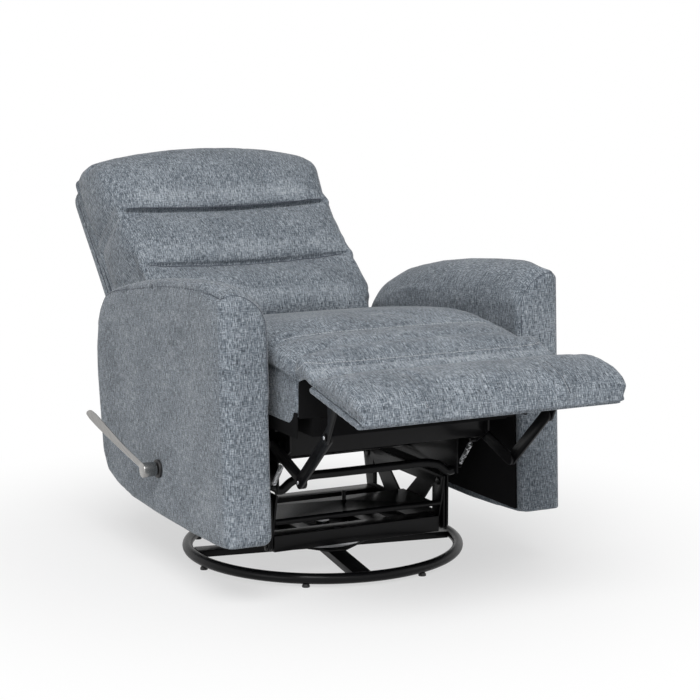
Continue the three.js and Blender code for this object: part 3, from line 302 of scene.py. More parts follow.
def raw_timber(name):
    material, nodes, links, principled = shader(name, (0.5, 0.36, 0.22), 0.75)
    where = nodes.new("ShaderNodeTexCoord").outputs["Object"]
    grain = noise(nodes, links, where, (0.08, 1, 1), 120, 4)
    color = ramp(nodes, links, grain, [(0.35, (0.36, 0.24, 0.13)), (0.65, (0.6, 0.45, 0.28))])
    links.new(color, principled.inputs["Base Color"])
    bump(nodes, links, principled, grain, 0.0006, 0.5)
    return material


black_steel = painted_steel("black_painted_steel", (0.004, 0.004, 0.0045), 0.36)
zinc_plate = grained_metal("zinc_plated_steel", (0.62, 0.63, 0.65), 0.3, (1, 1, 1))
satin_nickel = grained_metal("satin_lever_metal", (0.36, 0.355, 0.345), 0.24, (1, 0.05, 0.05))
black_plastic = moulded_plastic("black_moulded_plastic", (0.013, 0.013, 0.014), 0.5)
timber = raw_timber("raw_timber")
thread = moulded_plastic("pale_stitching_thread", (0.52, 0.53, 0.54), 0.8)
# painted shade: a dark material laid along seams as the shadow in their creases
shadow_thread = moulded_plastic("painted_seam_shadow", (0.07, 0.08, 0.1), 0.9)
finishes = {
    "black_steel": black_steel,
    "black_plastic": black_plastic,
    "bright_steel": zinc_plate,
    "satin_metal": satin_nickel,
    "upholstery": upholstery,
    "black_lining": lining,
    "timber": timber,
}
print(len(finishes), "finishes")

# %% [markdown]
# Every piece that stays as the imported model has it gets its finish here.
# The record says which finish each piece takes. The seat box and the rear rail are wrapped
# in black lining cloth on the real chair, so their timber doesn't show.

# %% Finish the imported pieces
slot_of = {entry["node"]: entry["material_slot"] for entry in frame["record"]["subparts"]}


def paint(obj, material):
    obj.data.materials.clear()
    obj.data.materials.append(material)


for node, obj in frame["nodes"].items():
    paint(obj, finishes[slot_of[node]])
for node in ("seat_frame", "rear_rail"):
    paint(frame["nodes"][node], lining)
print(len(frame["nodes"]), "packed pieces have their finish")

# %% [markdown]
# New pieces are made as a bmesh and then shown under a name of their own.
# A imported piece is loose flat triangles, so its copy is merged before anything else is done to it.
# A piece that stands for packed ones hides them, takes their finish and rides on their body.

# %% Helpers for pieces


def shown(name, bm, material):
    mesh = bpy.data.meshes.new(name)
    bm.to_mesh(mesh)
    bm.free()
    obj = bpy.data.objects.new(name, mesh)
    bpy.context.collection.objects.link(obj)
    mesh.materials.append(material)
    return obj


def merged(*nodes):
    bm = bmesh.new()
    for node in nodes:
        bm.from_mesh(frame["nodes"][node].data)
    bmesh.ops.remove_doubles(bm, verts=bm.verts, dist=2e-5)
    return bm


def body_of(node):
    return next(body for body, nodes in frame["record"]["behaviour"]["bodies"].items() if node in nodes)


def stand_for(obj, *nodes):
    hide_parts(*nodes)
    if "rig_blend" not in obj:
        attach(obj, body_of(nodes[0]))
    return obj


# %% [markdown]
# Pressed plates and bars have eased edges, which catch a thin line of light. A bevel modifier could do it,
# but it would work on every triangle. So the flat areas are first made single faces,
# and a small bevel runs along the sharp edges that are left.

# %% Helpers for edges
flat_angle, sharp_angle, shading_angle = 0.6, 38, 50  # degrees between two faces


def round_edges(bm, edges, width, segments, clamp=False):
    bmesh.ops.bevel(
        bm, geom=edges, offset=width, affect="EDGES", segments=segments,
        profile=0.5, material=-1, clamp_overlap=clamp,
    )


def shade_by_angle(obj, degrees):
    obj.data.shade_smooth()
    sharp = math.radians(degrees)
    bm = bmesh.new()
    bm.from_mesh(obj.data)
    for edge in bm.edges:
        edge.smooth = len(edge.link_faces) == 2 and edge.calc_face_angle(0) < sharp
    bm.to_mesh(obj.data)
    bm.free()


def eased(node, width, material, segments=2):
    bm = merged(node)
    bmesh.ops.dissolve_limit(bm, angle_limit=math.radians(flat_angle), verts=bm.verts, edges=bm.edges)
    sharp = math.radians(sharp_angle)
    edges = [e for e in bm.edges if len(e.link_faces) == 2 and e.calc_face_angle(0) > sharp]
    round_edges(bm, edges, width, segments, clamp=True)
    bmesh.ops.triangulate(bm, faces=[f for f in bm.faces if len(f.verts) > 4])
    obj = shown(node + "_eased", bm, material)
    shade_by_angle(obj, shading_angle)
    return stand_for(obj, node)


# %% [markdown]
# The sheet is three to five millimetres thick, so its pressed edges are eased by well under a millimetre.
# All the plates, brackets, links and hinges get the same ease.

# %% Ease the steel
steel_ease = 0.0007
plates = ["lower_frame", "deck_plate", "turntable_plate", "front_cross_rail", "base_cross"]
pairs = [
    "side_bracket", "hanger_plate", "glide_link_front", "glide_link_rear", "seat_guide",
    "seat_side_plate", "front_foot_link", "rear_foot_link", "footrest_bracket", "back_hinge",
]
plates += [pair + side for pair in pairs for side in ("_left", "_right")]
for node in plates:
    eased(node, steel_ease, black_steel)
print(len(plates), "steel pieces eased")

# %% [markdown]
# The floor ring is one bent tube. A torus would do, but a circle spun once round the middle
# shows how the ring is made, and it is fine enough to stay round close up.
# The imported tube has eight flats, so its true radius is a little more than half its height.

# %% Floor ring
low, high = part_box("base_ring")
tube = (high.z - low.z) / 2 / math.cos(math.pi / 8)
ring_radius = (high.x - low.x) / 2 - tube
bm = bmesh.new()
circle = bmesh.ops.create_circle(bm, segments=20, radius=tube)["verts"]
upright = Matrix.Translation((ring_radius, 0, 0)) @ Matrix.Rotation(math.pi / 2, 4, "X")
bmesh.ops.transform(bm, matrix=upright, verts=circle)
bmesh.ops.spin(
    bm, geom=bm.verts[:] + bm.edges[:], cent=(0, 0, 0), axis=(0, 0, 1),
    angle=2 * math.pi, steps=160, use_merge=True,
)
bmesh.ops.remove_doubles(bm, verts=bm.verts, dist=1e-5)
bmesh.ops.translate(bm, vec=((low.x + high.x) / 2, (low.y + high.y) / 2, (low.z + high.z) / 2), verts=bm.verts)
bmesh.ops.recalc_face_normals(bm, faces=bm.faces)
ring = shown("floor_ring_tube", bm, black_steel)
ring.data.shade_smooth()
stand_for(ring, "base_ring")
print("ring radius", round(ring_radius, 3), "tube", round(tube, 4))

# %% [markdown]
# The cross tube under the footrest is a round tube, level in the middle and bent down at its ends.
# A circle is extruded from station to station along it, and each new end is moved into place.

# %% Cross tube


def bar_through(name, stations, material, sides=16):
    bm = bmesh.new()
    verts = bmesh.ops.create_circle(bm, cap_ends=True, segments=sides, radius=1)["verts"]
    end = verts[0].link_faces[0]
    bmesh.ops.transform(bm, matrix=stations[0], verts=verts)
    for before, after in zip(stations, stations[1:]):
        made = bmesh.ops.extrude_face_region(bm, geom=[end])["geom"]
        verts = [v for v in made if isinstance(v, bmesh.types.BMVert)]
        end = next(f for f in made if isinstance(f, bmesh.types.BMFace))
        bmesh.ops.transform(bm, matrix=after @ before.inverted(), verts=verts)
    bmesh.ops.recalc_face_normals(bm, faces=bm.faces)
    return shown(name, bm, material)


def tube_along(name, route, radius, material):
    stations = []
    for i, point in enumerate(route):
        along = (route[min(i + 1, len(route) - 1)] - route[max(i - 1, 0)]).normalized()
        turned = along.to_track_quat("Z", "Y").to_matrix().to_4x4()
        stations.append(Matrix.Translation(point) @ turned @ Matrix.Diagonal((radius, radius, 1, 1)))
    return bar_through(name, stations, material)


def smooth_route(points, steps=6):
    route = []
    for i in range(len(points) - 1):
        p0, p1 = points[max(i - 1, 0)], points[i]
        p2, p3 = points[i + 1], points[min(i + 2, len(points) - 1)]
        for k in range(steps):
            t = k / steps
            square, cube = 2 * p0 - 5 * p1 + 4 * p2 - p3, 3 * p1 - p0 - 3 * p2 + p3
            route.append(0.5 * (2 * p1 + (p2 - p0) * t + square * t * t + cube * t ** 3))
    return route + [points[-1]]


tube_y, tube_radius = -200, 0.009
half_tube = [(201.7, 194), (187.4, 194), (165.8, 208.7), (130, 216), (70, 216)]
line = [at(-x, tube_y, z) for x, z in half_tube] + [at(x, tube_y, z) for x, z in reversed(half_tube)]
cross_tube = tube_along("cross_tube_bent", smooth_route(line), tube_radius, black_steel)
shade_by_angle(cross_tube, 40)
stand_for(cross_tube, "front_cross_tube")
print("cross tube", len(cross_tube.data.polygons), "faces")

# %% [markdown]
# A bright coil spring runs on each side from a peg on the hanger plate up to a peg on the seat plate.
# The wire follows a helix that narrows to the axis at both ends, where it hooks over the pegs.

# %% Return springs
turns, steps_a_turn = 15, 18
coil_radius, wire_radius = 0.0042, 0.001
for side in ("left", "right"):
    low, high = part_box("return_spring_" + side)
    x = ((low.x + high.x) / 2 - axis_x) * 1000
    first, last = at(x, -210.3, 206.9), at(x, -256.7, 263.1)
    axis = (last - first).normalized()
    across, other = Vector((1, 0, 0)), axis.cross(Vector((1, 0, 0)))
    wire = []
    for i in range(turns * steps_a_turn + 1):
        share, angle = i / (turns * steps_a_turn), math.tau * i / steps_a_turn
        width = coil_radius * min(1, share * turns, (1 - share) * turns)
        middle = first.lerp(last, 0.02 + 0.96 * share)
        wire.append(middle + across * width * math.cos(angle) + other * width * math.sin(angle))
    coil = tube_along("spring_wire_" + side, [first] + wire + [last], wire_radius, zinc_plate)
    coil.data.shade_smooth()
    stand_for(coil, "return_spring_" + side)
print("spring wire", len(wire), "stations a side")

# %% [markdown]
# Rivets hold the bars together. Each head is a small bright zinc dome, which stands as a painted highlight for
# the glint on a dark rivet.
# A short cylinder with its outer rim rounded over is enough for a dome of this size.

# %% Rivet heads


def rod(bm, radius, length, place, sides):
    bmesh.ops.create_cone(
        bm, cap_ends=True, segments=sides, radius1=radius, radius2=radius, depth=length, matrix=place,
    )


def rivet_head(name, body, x, y, z, sign, radius=4, rise=2):
    bm = bmesh.new()
    place = Matrix.Translation(at(x, y, z)) @ Matrix.Rotation(sign * math.pi / 2, 4, "Y")
    rod(bm, radius / 1000, rise / 1000, place, 28)
    outer = [e for e in bm.edges if all((v.co.x - at(x, 0, 0).x) * sign > 0 for v in e.verts)]
    round_edges(bm, outer, rise * 0.0008, 4)
    # painted highlight: the bright zinc stands for the glint on a dark rivet head
    head = shown(name, bm, zinc_plate)
    shade_by_angle(head, shading_angle)
    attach(head, body)


rivets = [
    ("front_footrest_links", 216.3, -248, 295, -1),
    ("front_footrest_links", 240.6, -380, 251, 1),
    ("rear_footrest_links", 246.6, -505, 362, 1),
]
for side, sign in (("left", 1), ("right", -1)):
    for number, (body, x, y, z, way) in enumerate(rivets):
        rivet_head("rivet_" + side + "_" + str(number + 1), body, sign * x, y, z, sign * way)
print(len(rivets), "rivet heads a side")

# %% [markdown]
# The release lever is a flat satin blade that leaves its hub on edge and twists outwards
# to a paddle for the fingers. An oval is extruded through stations that follow a bow,
# each one flatter and turned a little more than the last, and widest at the paddle.

# %% Release lever
hub_x, hub_z = -397.3, 215
blade_length, blade_rise, blade_bow, blade_roll = 262, 78, 28, math.radians(62)
blade_sections = [  # share of the length, width, thickness
    (0, 15, 6.5), (0.13, 13.5, 6), (0.28, 12.5, 5.6), (0.42, 12.5, 5.2), (0.56, 14, 4.8),
    (0.7, 16.5, 4.4), (0.83, 18.5, 4), (0.93, 18.5, 3.8), (0.98, 15, 3.2), (1, 8, 1.6),
]
stations = []
for share, width, thick in blade_sections:
    rise = blade_rise * (0.6 * share ** 2 + 0.4 * share)
    centre = at(hub_x - blade_bow * share ** 2, blade_length * share, hub_z + rise)
    roll = blade_roll * math.sin(share * math.pi / 2)
    wide = Vector((math.sin(roll), 0, math.cos(roll)))
    thin = Vector((math.cos(roll), 0, -math.sin(roll)))
    along = thin.cross(wide)
    turned = Matrix((wide * width / 2000, thin * thick / 2000, along * 0.001)).transposed().to_4x4()
    stations.append(Matrix.Translation(centre) @ turned)
blade = bar_through("lever_blade", stations, satin_nickel, 14)
finer = blade.modifiers.new("finer", "SUBSURF")
finer.levels = finer.render_levels = 2
bm = bmesh.new()
hub_place = Matrix.Translation(at(hub_x + 4.5, 0, hub_z)) @ Matrix.Rotation(math.pi / 2, 4, "Y")
bmesh.ops.create_cone(
    bm, cap_ends=True, segments=40, radius1=0.0155, radius2=0.0145, depth=0.030, matrix=hub_place,
)
rims = [e for e in bm.edges if len(e.link_faces) == 2 and e.calc_face_angle(0) > 1]
round_edges(bm, rims, 0.0016, 3)
hub = shown("lever_hub", bm, satin_nickel)
shade_by_angle(hub, 40)
stand_for(blade, "lever_handle")
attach(hub, "release_lever")
eased("lever_bezel", 0.0012, black_plastic, 3)
print("lever blade", len(stations), "stations")

# %% [markdown]
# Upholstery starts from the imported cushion's shape. A copy is remeshed into small even squares, as cloth needs,
# and softened. Its points are then read and moved as arrays, because a cushion has tens of thousands of them.

# %% Helpers for a cushion's blank


def coordinates(obj):
    co = np.empty(len(obj.data.vertices) * 3)
    obj.data.vertices.foreach_get("co", co)
    return co.reshape(-1, 3)


def facing(obj):
    normals = np.empty(len(obj.data.vertices) * 3, np.float32)
    obj.data.vertex_normals.foreach_get("vector", normals)
    return normals.reshape(-1, 3).astype(float)


def move_to(obj, co):
    obj.data.vertices.foreach_set("co", np.ascontiguousarray(co).ravel())
    obj.data.update()


def bake(obj):
    finished = bpy.data.meshes.new_from_object(obj.evaluated_get(bpy.context.evaluated_depsgraph_get()))
    finished.name = obj.name
    obj.modifiers.clear()
    obj.data = finished


def blank(name, voxel, nodes, material, softness=6, before=None):
    bm = merged(*nodes)
    if before:
        before(bm)
    obj = shown(name, bm, material)
    remesh = obj.modifiers.new("remesh", "REMESH")
    remesh.mode = "VOXEL"
    remesh.voxel_size = voxel
    soft = obj.modifiers.new("soft", "SMOOTH")
    soft.factor = 0.5
    soft.iterations = softness
    bake(obj)
    return obj


# %% [markdown]
# A real cushion is stuffed, so it swells wherever no seam holds it. Cloth simulation does that here:
# pressure blows the blank up, and each point is held by a weight from 0, free, to 1, sewn down.
# No point may move further than a cap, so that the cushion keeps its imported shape.

# %% Helper that swells a cushion
weight_steps = 20


def puff(obj, held, pressure, cap, slack=0.015, frames=20):
    rest = coordinates(obj)
    group = obj.vertex_groups.new(name="held")
    levels = np.round(np.clip(held, 0, 1) * weight_steps).astype(int)
    for level in range(1, weight_steps + 1):
        group.add(np.flatnonzero(levels == level).tolist(), level / weight_steps, "REPLACE")
    cloth = obj.modifiers.new("Cloth", "CLOTH")
    cloth.settings.quality = 5
    cloth.settings.mass = 0.3
    cloth.settings.bending_stiffness = 0.4
    cloth.settings.use_pressure = True
    cloth.settings.uniform_pressure_force = pressure
    cloth.settings.vertex_group_mass = "held"
    cloth.settings.shrink_min = -slack
    cloth.settings.shrink_max = -slack
    cloth.settings.effector_weights.gravity = 0
    cloth.collision_settings.use_collision = False
    for frame_number in range(1, frames + 1):
        bpy.context.scene.frame_set(frame_number)
    swollen = obj.evaluated_get(bpy.context.evaluated_depsgraph_get())
    moved = np.empty(len(rest) * 3)
    swollen.data.vertices.foreach_get("co", moved)
    shift = moved.reshape(-1, 3) - rest
    length = np.maximum(np.linalg.norm(shift, axis=1), 1e-9)
    shift *= (np.minimum(length, cap) / length)[:, None]
    obj.modifiers.remove(cloth)
    obj.vertex_groups.remove(group)
    bpy.context.scene.frame_set(1)
    move_to(obj, rest + shift)
    print(obj.name, "swells by", round(float(np.minimum(length, cap).max()) * 1000, 1), "mm at most")


# %% [markdown]
# After swelling the mesh is made finer, and seams are pressed in along its normals. A valley is a soft groove
# round a line, and a smooth step fades one thing into another, so both serve for every seam and edge below.

# %% Helpers for seams and folds


def finer_mesh(obj):
    finer = obj.modifiers.new("finer", "SUBSURF")
    finer.levels = finer.render_levels = 1
    bake(obj)


def press(obj, amount):
    move_to(obj, coordinates(obj) - facing(obj) * (amount / 1000)[:, None])


def smoothstep(value, start, end):
    t = np.clip((value - start) / (end - start), 0, 1)
    return t * t * (3 - 2 * t)


def valley(distance, width):
    return np.exp(-((distance / width) ** 2))


def place_in_chair(obj, mm):
    move_to(obj, mm / 1000 + np.array([axis_x, axis_y, 0]))


# %% [markdown]
# The weave needs a UV map in metres. Each face is laid flat from the side that it mostly faces,
# across the piece and up along it, so the threads run straight up and down on every cushion.

# %% Helpers that lay the cloth and paint its highlights


def lay_weave(obj, places):
    mesh = obj.data
    mm = places(coordinates(obj)) / 1000
    corner = np.empty(len(mesh.loops), int)
    mesh.loops.foreach_get("vertex_index", corner)
    first = np.empty(len(mesh.polygons), int)
    mesh.polygons.foreach_get("loop_start", first)
    sizes = np.diff(np.append(first, len(corner)))
    points = mm[corner]
    edge_a = points[first + 1] - points[first]
    edge_b = points[first + 2] - points[first]
    main = np.repeat(np.argmax(np.abs(np.cross(edge_a, edge_b)), axis=1), sizes)
    across = np.where(main == 0, points[:, 1], points[:, 0])
    along = np.where(main == 2, points[:, 1], points[:, 2])
    layer = mesh.uv_layers[0] if mesh.uv_layers else mesh.uv_layers.new(name="weave")
    layer.data.foreach_set("uv", np.stack([across, along], 1).ravel())


# Painted highlight: the amount is stored as a point attribute that the cloth material turns into paler colour.
def paint_highlight(obj, amount):
    painted_highlight = obj.data.attributes.new("painted_highlight", "FLOAT", "POINT")
    painted_highlight.data.foreach_set("value", amount.astype(np.float32))


def finish_cloth(obj, places, fill, *nodes):
    lay_weave(obj, places)
    obj.data.shade_smooth()
    print(obj.name, len(obj.data.polygons), "faces")
    return stand_for(obj, *nodes)


# %% [markdown]
# Stitching shows as a row of short pale dashes that lie in the seam. Each dash is a tiny six-sided rod.
# Its place is found by walking along a route laid on the cloth, so a row follows any cushion.
# A seam without stitching gets the same row in a dark material, with its dashes run together: painted shade for
# the shadow in the seam's crease.

# %% Helpers for stitching and painted seam shadows


def stitches(name, route, cover, body, material, length=4.6, gap=1.6, radius=0.45, sink=0.1):
    mesh = cover.data
    surface = BVHTree.FromPolygons([v.co for v in mesh.vertices], [p.vertices for p in mesh.polygons])
    on_cloth = [surface.find_nearest(point)[:2] for point in route]
    points = [place + normal * (radius - sink) / 1000 for place, normal in on_cloth]
    distance = [0.0]
    for a, b in zip(points, points[1:]):
        distance.append(distance[-1] + (b - a).length)
    spots = np.array([list(p) for p in points])

    def along(d):
        return Vector([float(np.interp(d, distance, spots[:, k])) for k in range(3)])

    bm = bmesh.new()
    start = 0.0
    while start + length / 1000 < distance[-1]:
        a, b = along(start), along(start + length / 1000)
        place = Matrix.Translation((a + b) / 2) @ (b - a).to_track_quat("Z", "Y").to_matrix().to_4x4()
        rod(bm, radius / 1000, (b - a).length, place, 6)
        start += (length + gap) / 1000
    obj = shown(name, bm, material)
    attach(obj, body)


# Painted shade: a dark line laid in a seam for the shadow in its crease.
def seam_shadow_line(name, route, cover, body, radius=0.9):
    stitches(name, route, cover, body, shadow_thread, length=6, gap=-0.6, radius=radius, sink=0.5)


def press_along(obj, route, width, depth):
    co, line = coordinates(obj), np.array([list(p) for p in route])
    nearest = np.full(len(co), 1.0)
    for point in line:
        nearest = np.minimum(nearest, np.linalg.norm(co - point, axis=1))
    press(obj, depth * valley(nearest * 1000, width))


# %% [markdown]
# The seat cushion runs on over the front edge into the calf pad as one cover, and folds down with it
# when the footrest closes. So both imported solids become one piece. The calf pad's rear end is first pushed
# into the seat, so that the remesh joins them without a gap. A channel and the nose seam hold the cloth
# while it swells.

# %% Seat and calf cushion, swollen
channel_y, nose_y = -300, -468


def reach_back(bm):
    for vert in bm.verts:
        mm = (vert.co - at(0, 0, 0)) * 1000
        if -411.5 < mm.y < -410.3 and mm.z > 450:
            vert.co.y += 0.004


seat = blank("seat_and_calf_cushion", 0.0065, ("seat_cushion", "calf_pad"), upholstery, 10, reach_back)
mm, n = chair_places(coordinates(seat)), facing(seat)
held = 1 - smoothstep(n[:, 2], 0.25, 0.7)
held = np.maximum(held, smoothstep(np.abs(mm[:, 0]), 228, 256))
held = np.maximum(held, 0.9 * valley(mm[:, 1] - channel_y, 9))
held = np.maximum(held, 0.95 * valley(mm[:, 1] - nose_y, 6))
held = np.maximum(held, 1 - smoothstep(mm[:, 2], 440, 470))
held = np.maximum(held, smoothstep(mm[:, 1], 150, 185))
puff(seat, held, pressure=4, cap=0.009)
finer_mesh(seat)

# %% [markdown]
# Below its top cover the seat has a side band, which stands back by eight millimetres from the cover's edge.
# The calf pad ends in a soft lip that hangs forward and down and spreads a little to the sides.

# %% Seat and calf cushion, its side band and lip
cover_edge_z = 459
mm = chair_places(coordinates(seat))
under_cover = cover_edge_z + 0.12 * (mm[:, 1] + 410) - mm[:, 2]
band = smoothstep(np.abs(mm[:, 0]), 250, 259) * smoothstep(mm[:, 1], -414, -408)
mm[:, 0] -= np.sign(mm[:, 0]) * 8 * smoothstep(under_cover, 0, 5) * band
lip, fall = smoothstep(-mm[:, 1], 446, 491), smoothstep(-mm[:, 1], 430, 468)
high = np.clip((mm[:, 2] - cover_edge_z) / 45, 0, 1)
mm[:, 1] -= (9 + 19 * high) * lip
mm[:, 2] -= 4 * high * fall + (7 + 11 * high) * lip
mm[:, 0] += np.sign(mm[:, 0]) * 6 * lip * smoothstep(np.abs(mm[:, 0]), 215, 255)
place_in_chair(seat, mm)
print("seat cover reaches forward to", round(mm[:, 1].min()), "mm")

# %% [markdown]
# The channel and the nose seam are pressed into the top. In front of the nose seam a painted highlight makes the
# cloth paler.
# The cover bends between the bodies of seat and calf pad, across the hinge.

# %% Seat and calf cushion, finished
mm, n = chair_places(coordinates(seat)), facing(seat)
fold = smoothstep(n[:, 2], 0.2, 0.6) * smoothstep(248 - np.abs(mm[:, 0]), 0, 20)
press(seat, fold * (2.0 * valley(mm[:, 1] - channel_y, 5) + 2.6 * valley(mm[:, 1] - nose_y, 4)))
# painted highlight on the top of the nose, in front of its seam
paint_highlight(seat, smoothstep(-mm[:, 1], 467, 473) * smoothstep(mm[:, 2], 470, 485))
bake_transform(seat, "seat", "calf_rest", at(0, -398, 480), at(0, -424, 480))
finish_cloth(seat, chair_places, 0.7, "seat_cushion", "calf_pad")

# %% [markdown]
# One pale row of thread runs across the nose of the seat and curves back at its ends,
# round the corners of the cushion. A second, straight row lies in the channel behind it.

# %% Seat stitching
half_nose = [
    (0, -466, 500), (100, -466, 500), (200, -465, 499),
    (236, -457, 494), (254, -441, 486), (263, -424, 477),
]
nose = [at(-x, y, z) for x, y, z in reversed(half_nose)] + [at(*place) for place in half_nose[1:]]
stitches("seat_front_stitching", smooth_route(nose, 14), seat, "calf_rest", thread)
channel = [at(x, channel_y + 4, 520) for x in np.linspace(-228, 228, 90)]
stitches("seat_channel_stitching", channel, seat, "seat", thread)
print("two rows of stitching on the seat")

# %% [markdown]
# The back pillow has a plump head roll and two sewn-in folds that run right across it,
# a little higher at the sides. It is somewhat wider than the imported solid, most at the head.
# Its rear face is held flat against the back, and the folds are held while the cloth swells between them.

# %% Back pillow, swollen
folds = ((311, 13, 8, 243), (149, 8, 5, 236))  # place up the back, depth, overhang, half the seam's length
pillow_foot = 0


def fold_height(x, low_point):
    return low_point + 14 * (x / 261) ** 2


def widen_back(obj):
    co, up = coordinates(obj), back_places(coordinates(obj))[:, 2]
    co[:, 0] += (co[:, 0] - axis_x) * (0.024 + 0.014 * smoothstep(up, 250, 500))
    move_to(obj, co)


pillow = blank("back_pillow", 0.006, ("back_cushion",), upholstery, 5)
widen_back(pillow)
mm = back_places(coordinates(pillow))
held = np.maximum(smoothstep(-mm[:, 1], 88, 104), 1 - smoothstep(mm[:, 2], -30, 10))
for low_point, *_ in folds:
    held = np.maximum(held, valley(mm[:, 2] - fold_height(mm[:, 0], low_point), 12))
press(pillow, 5 * (1 - held))
puff(pillow, held, pressure=4.5, cap=0.014)
finer_mesh(pillow)

# %% [markdown]
# Each fold is pressed deep, and the cloth above it sags over it. A painted highlight makes the cloth paler
# just above each fold, and above the pillow's foot. A dark line in the seam at the bottom of each fold is painted
# shade for the shadow in its crease.

# %% Back pillow, folded
along_back = np.array([0, math.sin(lean), math.cos(lean)]) / 1000
for low_point, depth, overhang, reach in folds:
    mm = back_places(coordinates(pillow))
    across = smoothstep(mm[:, 1], -40, 10) * smoothstep(258 - np.abs(mm[:, 0]), 0, 22)
    above = mm[:, 2] - fold_height(mm[:, 0], low_point)
    press(pillow, across * depth * valley(above, 5))
    move_to(pillow, coordinates(pillow) - (across * overhang * valley(above - 13, 9))[:, None] * along_back)
mm = back_places(coordinates(pillow))
# painted highlight: paler bands just above each fold and above the pillow's foot
highlight_lows = [fold[0] for fold in folds] + [pillow_foot]
painted_highlight_bands = sum(valley(mm[:, 2] - fold_height(mm[:, 0], low_point) - 30, 18) for low_point in highlight_lows)
paint_highlight(pillow, painted_highlight_bands * smoothstep(235 - np.abs(mm[:, 0]), 0, 60) * smoothstep(mm[:, 1], 0, 30))
finish_cloth(pillow, back_places, 0.8, "back_cushion")
# painted shade: a dark line along the bottom of each fold for the shadow in its crease
for low_point, depth, overhang, reach in folds:
    route = [on_back(x, 60, fold_height(x, low_point) - 1) for x in np.linspace(-reach, reach, 120)]
    seam_shadow_line("back_crease_" + str(low_point), route, pillow, "back", 1.1)

# %% [markdown]
# Behind the pillow the back is a thin padded shell in the same cloth: a side band sewn to a rear panel.
# The two seams of the band show from the side as thin dark lines, which are painted shade for the shadow in their
# creases.
# The cloth lies taut over a board, so nothing is swollen here. The seams are routes that run up one side, over
# the top and down the other.

# %% Back shell
rear_seam, front_seam = -130, -111.5
shell = blank("back_shell", 0.006, ("back_panel", "back_frame"), upholstery, 6)
widen_back(shell)
finer_mesh(shell)
mm = back_places(coordinates(shell))
press(shell, 3.2 * valley(mm[:, 1] - rear_seam, 2.8) * smoothstep(mm[:, 2], -92, -80))
finish_cloth(shell, back_places, 0.2, "back_panel", "back_frame")


def round_the_back(out, top=552, arch=27, corner=30, half=266):
    side = [(half, up) for up in np.linspace(-80, top - arch - corner, 60)]
    turn_x, turn_up = half - corner, top - arch - corner
    turn = [(turn_x + corner * math.cos(a), turn_up + corner * math.sin(a)) for a in np.linspace(0, 1.4, 8)]
    over = [(share * half, top - arch * share ** 2) for share in np.linspace(0.88, 0, 24)]
    right = side + turn + over
    return [on_back(x, out, up) for x, up in right] + [on_back(-x, out, up) for x, up in reversed(right)]


# painted shade: dark lines in the two seams of the side band
seam_shadow_line("back_rear_seam", round_the_back(rear_seam), shell, "back")
seam_shadow_line("back_front_seam", round_the_back(front_seam), shell, "back")

# %% [markdown]
# The footrest pad is sewn into three plump lobes by two seams that fade out before its rear edge.
# It is shaped as if it lay level, and its slope is put back afterwards.

# %% Footrest pad, swollen
pad_wider = 1.022
pad = blank("footrest_cushion", 0.0055, ("footrest_pad",), upholstery, 5)
mm = foot_places(coordinates(pad))
lobes = valley(np.abs(mm[:, 0]) - 145, 8) * (1 - smoothstep(mm[:, 1], -630, -600))
held = np.maximum(lobes, 1 - smoothstep(mm[:, 2], 429, 439))
press(pad, 4 * (1 - held))
puff(pad, held, pressure=4, cap=0.006)
finer_mesh(pad)

# %% [markdown]
# The ends of the pad are full and hang a little over the board. Its rear edge is low and meets the front strip
# of the calf pad, so each point of it is kept in front of that strip's sloping face.

# %% Footrest pad, its ends and rear edge
strip_y, strip_low_z, strip_top_z = -501, 453, 486
mm = foot_places(coordinates(pad))
ends = smoothstep(np.abs(mm[:, 0]), 232, 262) * smoothstep(mm[:, 2], 431, 449)
mm[:, 0] = mm[:, 0] * pad_wider + np.sign(mm[:, 0]) * 9 * ends
mm[:, 2] += 5 * ends + 4.5 * valley(np.abs(mm[:, 0]) - 94, 14) * smoothstep(mm[:, 2], 443, 465)
mm[:, 2] -= 9 * smoothstep(mm[:, 1], -605, -525) * smoothstep(mm[:, 2], 440, 455)
mm = np.stack([mm[:, 0], *foot_turned(mm[:, 1], mm[:, 2], foot_tilt)], 1)
strip_slope = 19 * np.clip((mm[:, 2] - strip_low_z) / 31, 0, 1.2)
strip_face = strip_y - strip_slope - 6 * smoothstep(mm[:, 2], strip_top_z, 500)
mm[:, 1] = np.minimum(mm[:, 1], strip_face)
place_in_chair(pad, mm)
print("footrest pad is", round(np.ptp(mm[:, 0])), "mm wide")

# %% [markdown]
# The two seams are pressed in, and a groove runs round the pad just above the board,
# so that the front edge shows as two layers. Pale stitches run down the front of each seam,
# with a dark line beside them that is painted shade for the shadow in the seam.

# %% Footrest pad, sewn
seam_x, groove_z = 148, 435
mm, n = foot_places(coordinates(pad)), facing(pad)
sewn = (1 - smoothstep(mm[:, 1], -640, -600)) * smoothstep(mm[:, 2], 431, 443)
groove = 1.8 * valley(mm[:, 2] - groove_z, 2.4) * smoothstep(-n[:, 2], -0.5, 0.2)
press(pad, sewn * 3 * valley(np.abs(mm[:, 0]) - seam_x, 3) + groove)
finish_cloth(pad, foot_places, 0.75, "footrest_pad")
for side, x in (("right", -seam_x), ("left", seam_x)):
    route = [on_foot(x, y, z) for y, z in zip(np.linspace(-718, -618, 50), np.linspace(453, 490, 50))]
    stitches("footrest_stitching_" + side, route, pad, "footrest", thread, radius=0.3)
    # painted shade: a dark line beside the stitches for the seam's shadow
    beside = [point + Vector((0.0014, 0, 0)) for point in route]
    seam_shadow_line("footrest_seam_" + side, beside, pad, "footrest", 0.6)

# %% [markdown]
# The board under the pad is wrapped tightly in the same cloth.
# Small squares and one pass of smoothing keep it crisp.

# %% Footrest board
board = blank("footrest_board_cover", 0.004, ("footrest_board",), upholstery, 1)
mm = chair_places(coordinates(board))
mm[:, 0] *= pad_wider
place_in_chair(board, mm)
finish_cloth(board, foot_places, 0.1, "footrest_board")

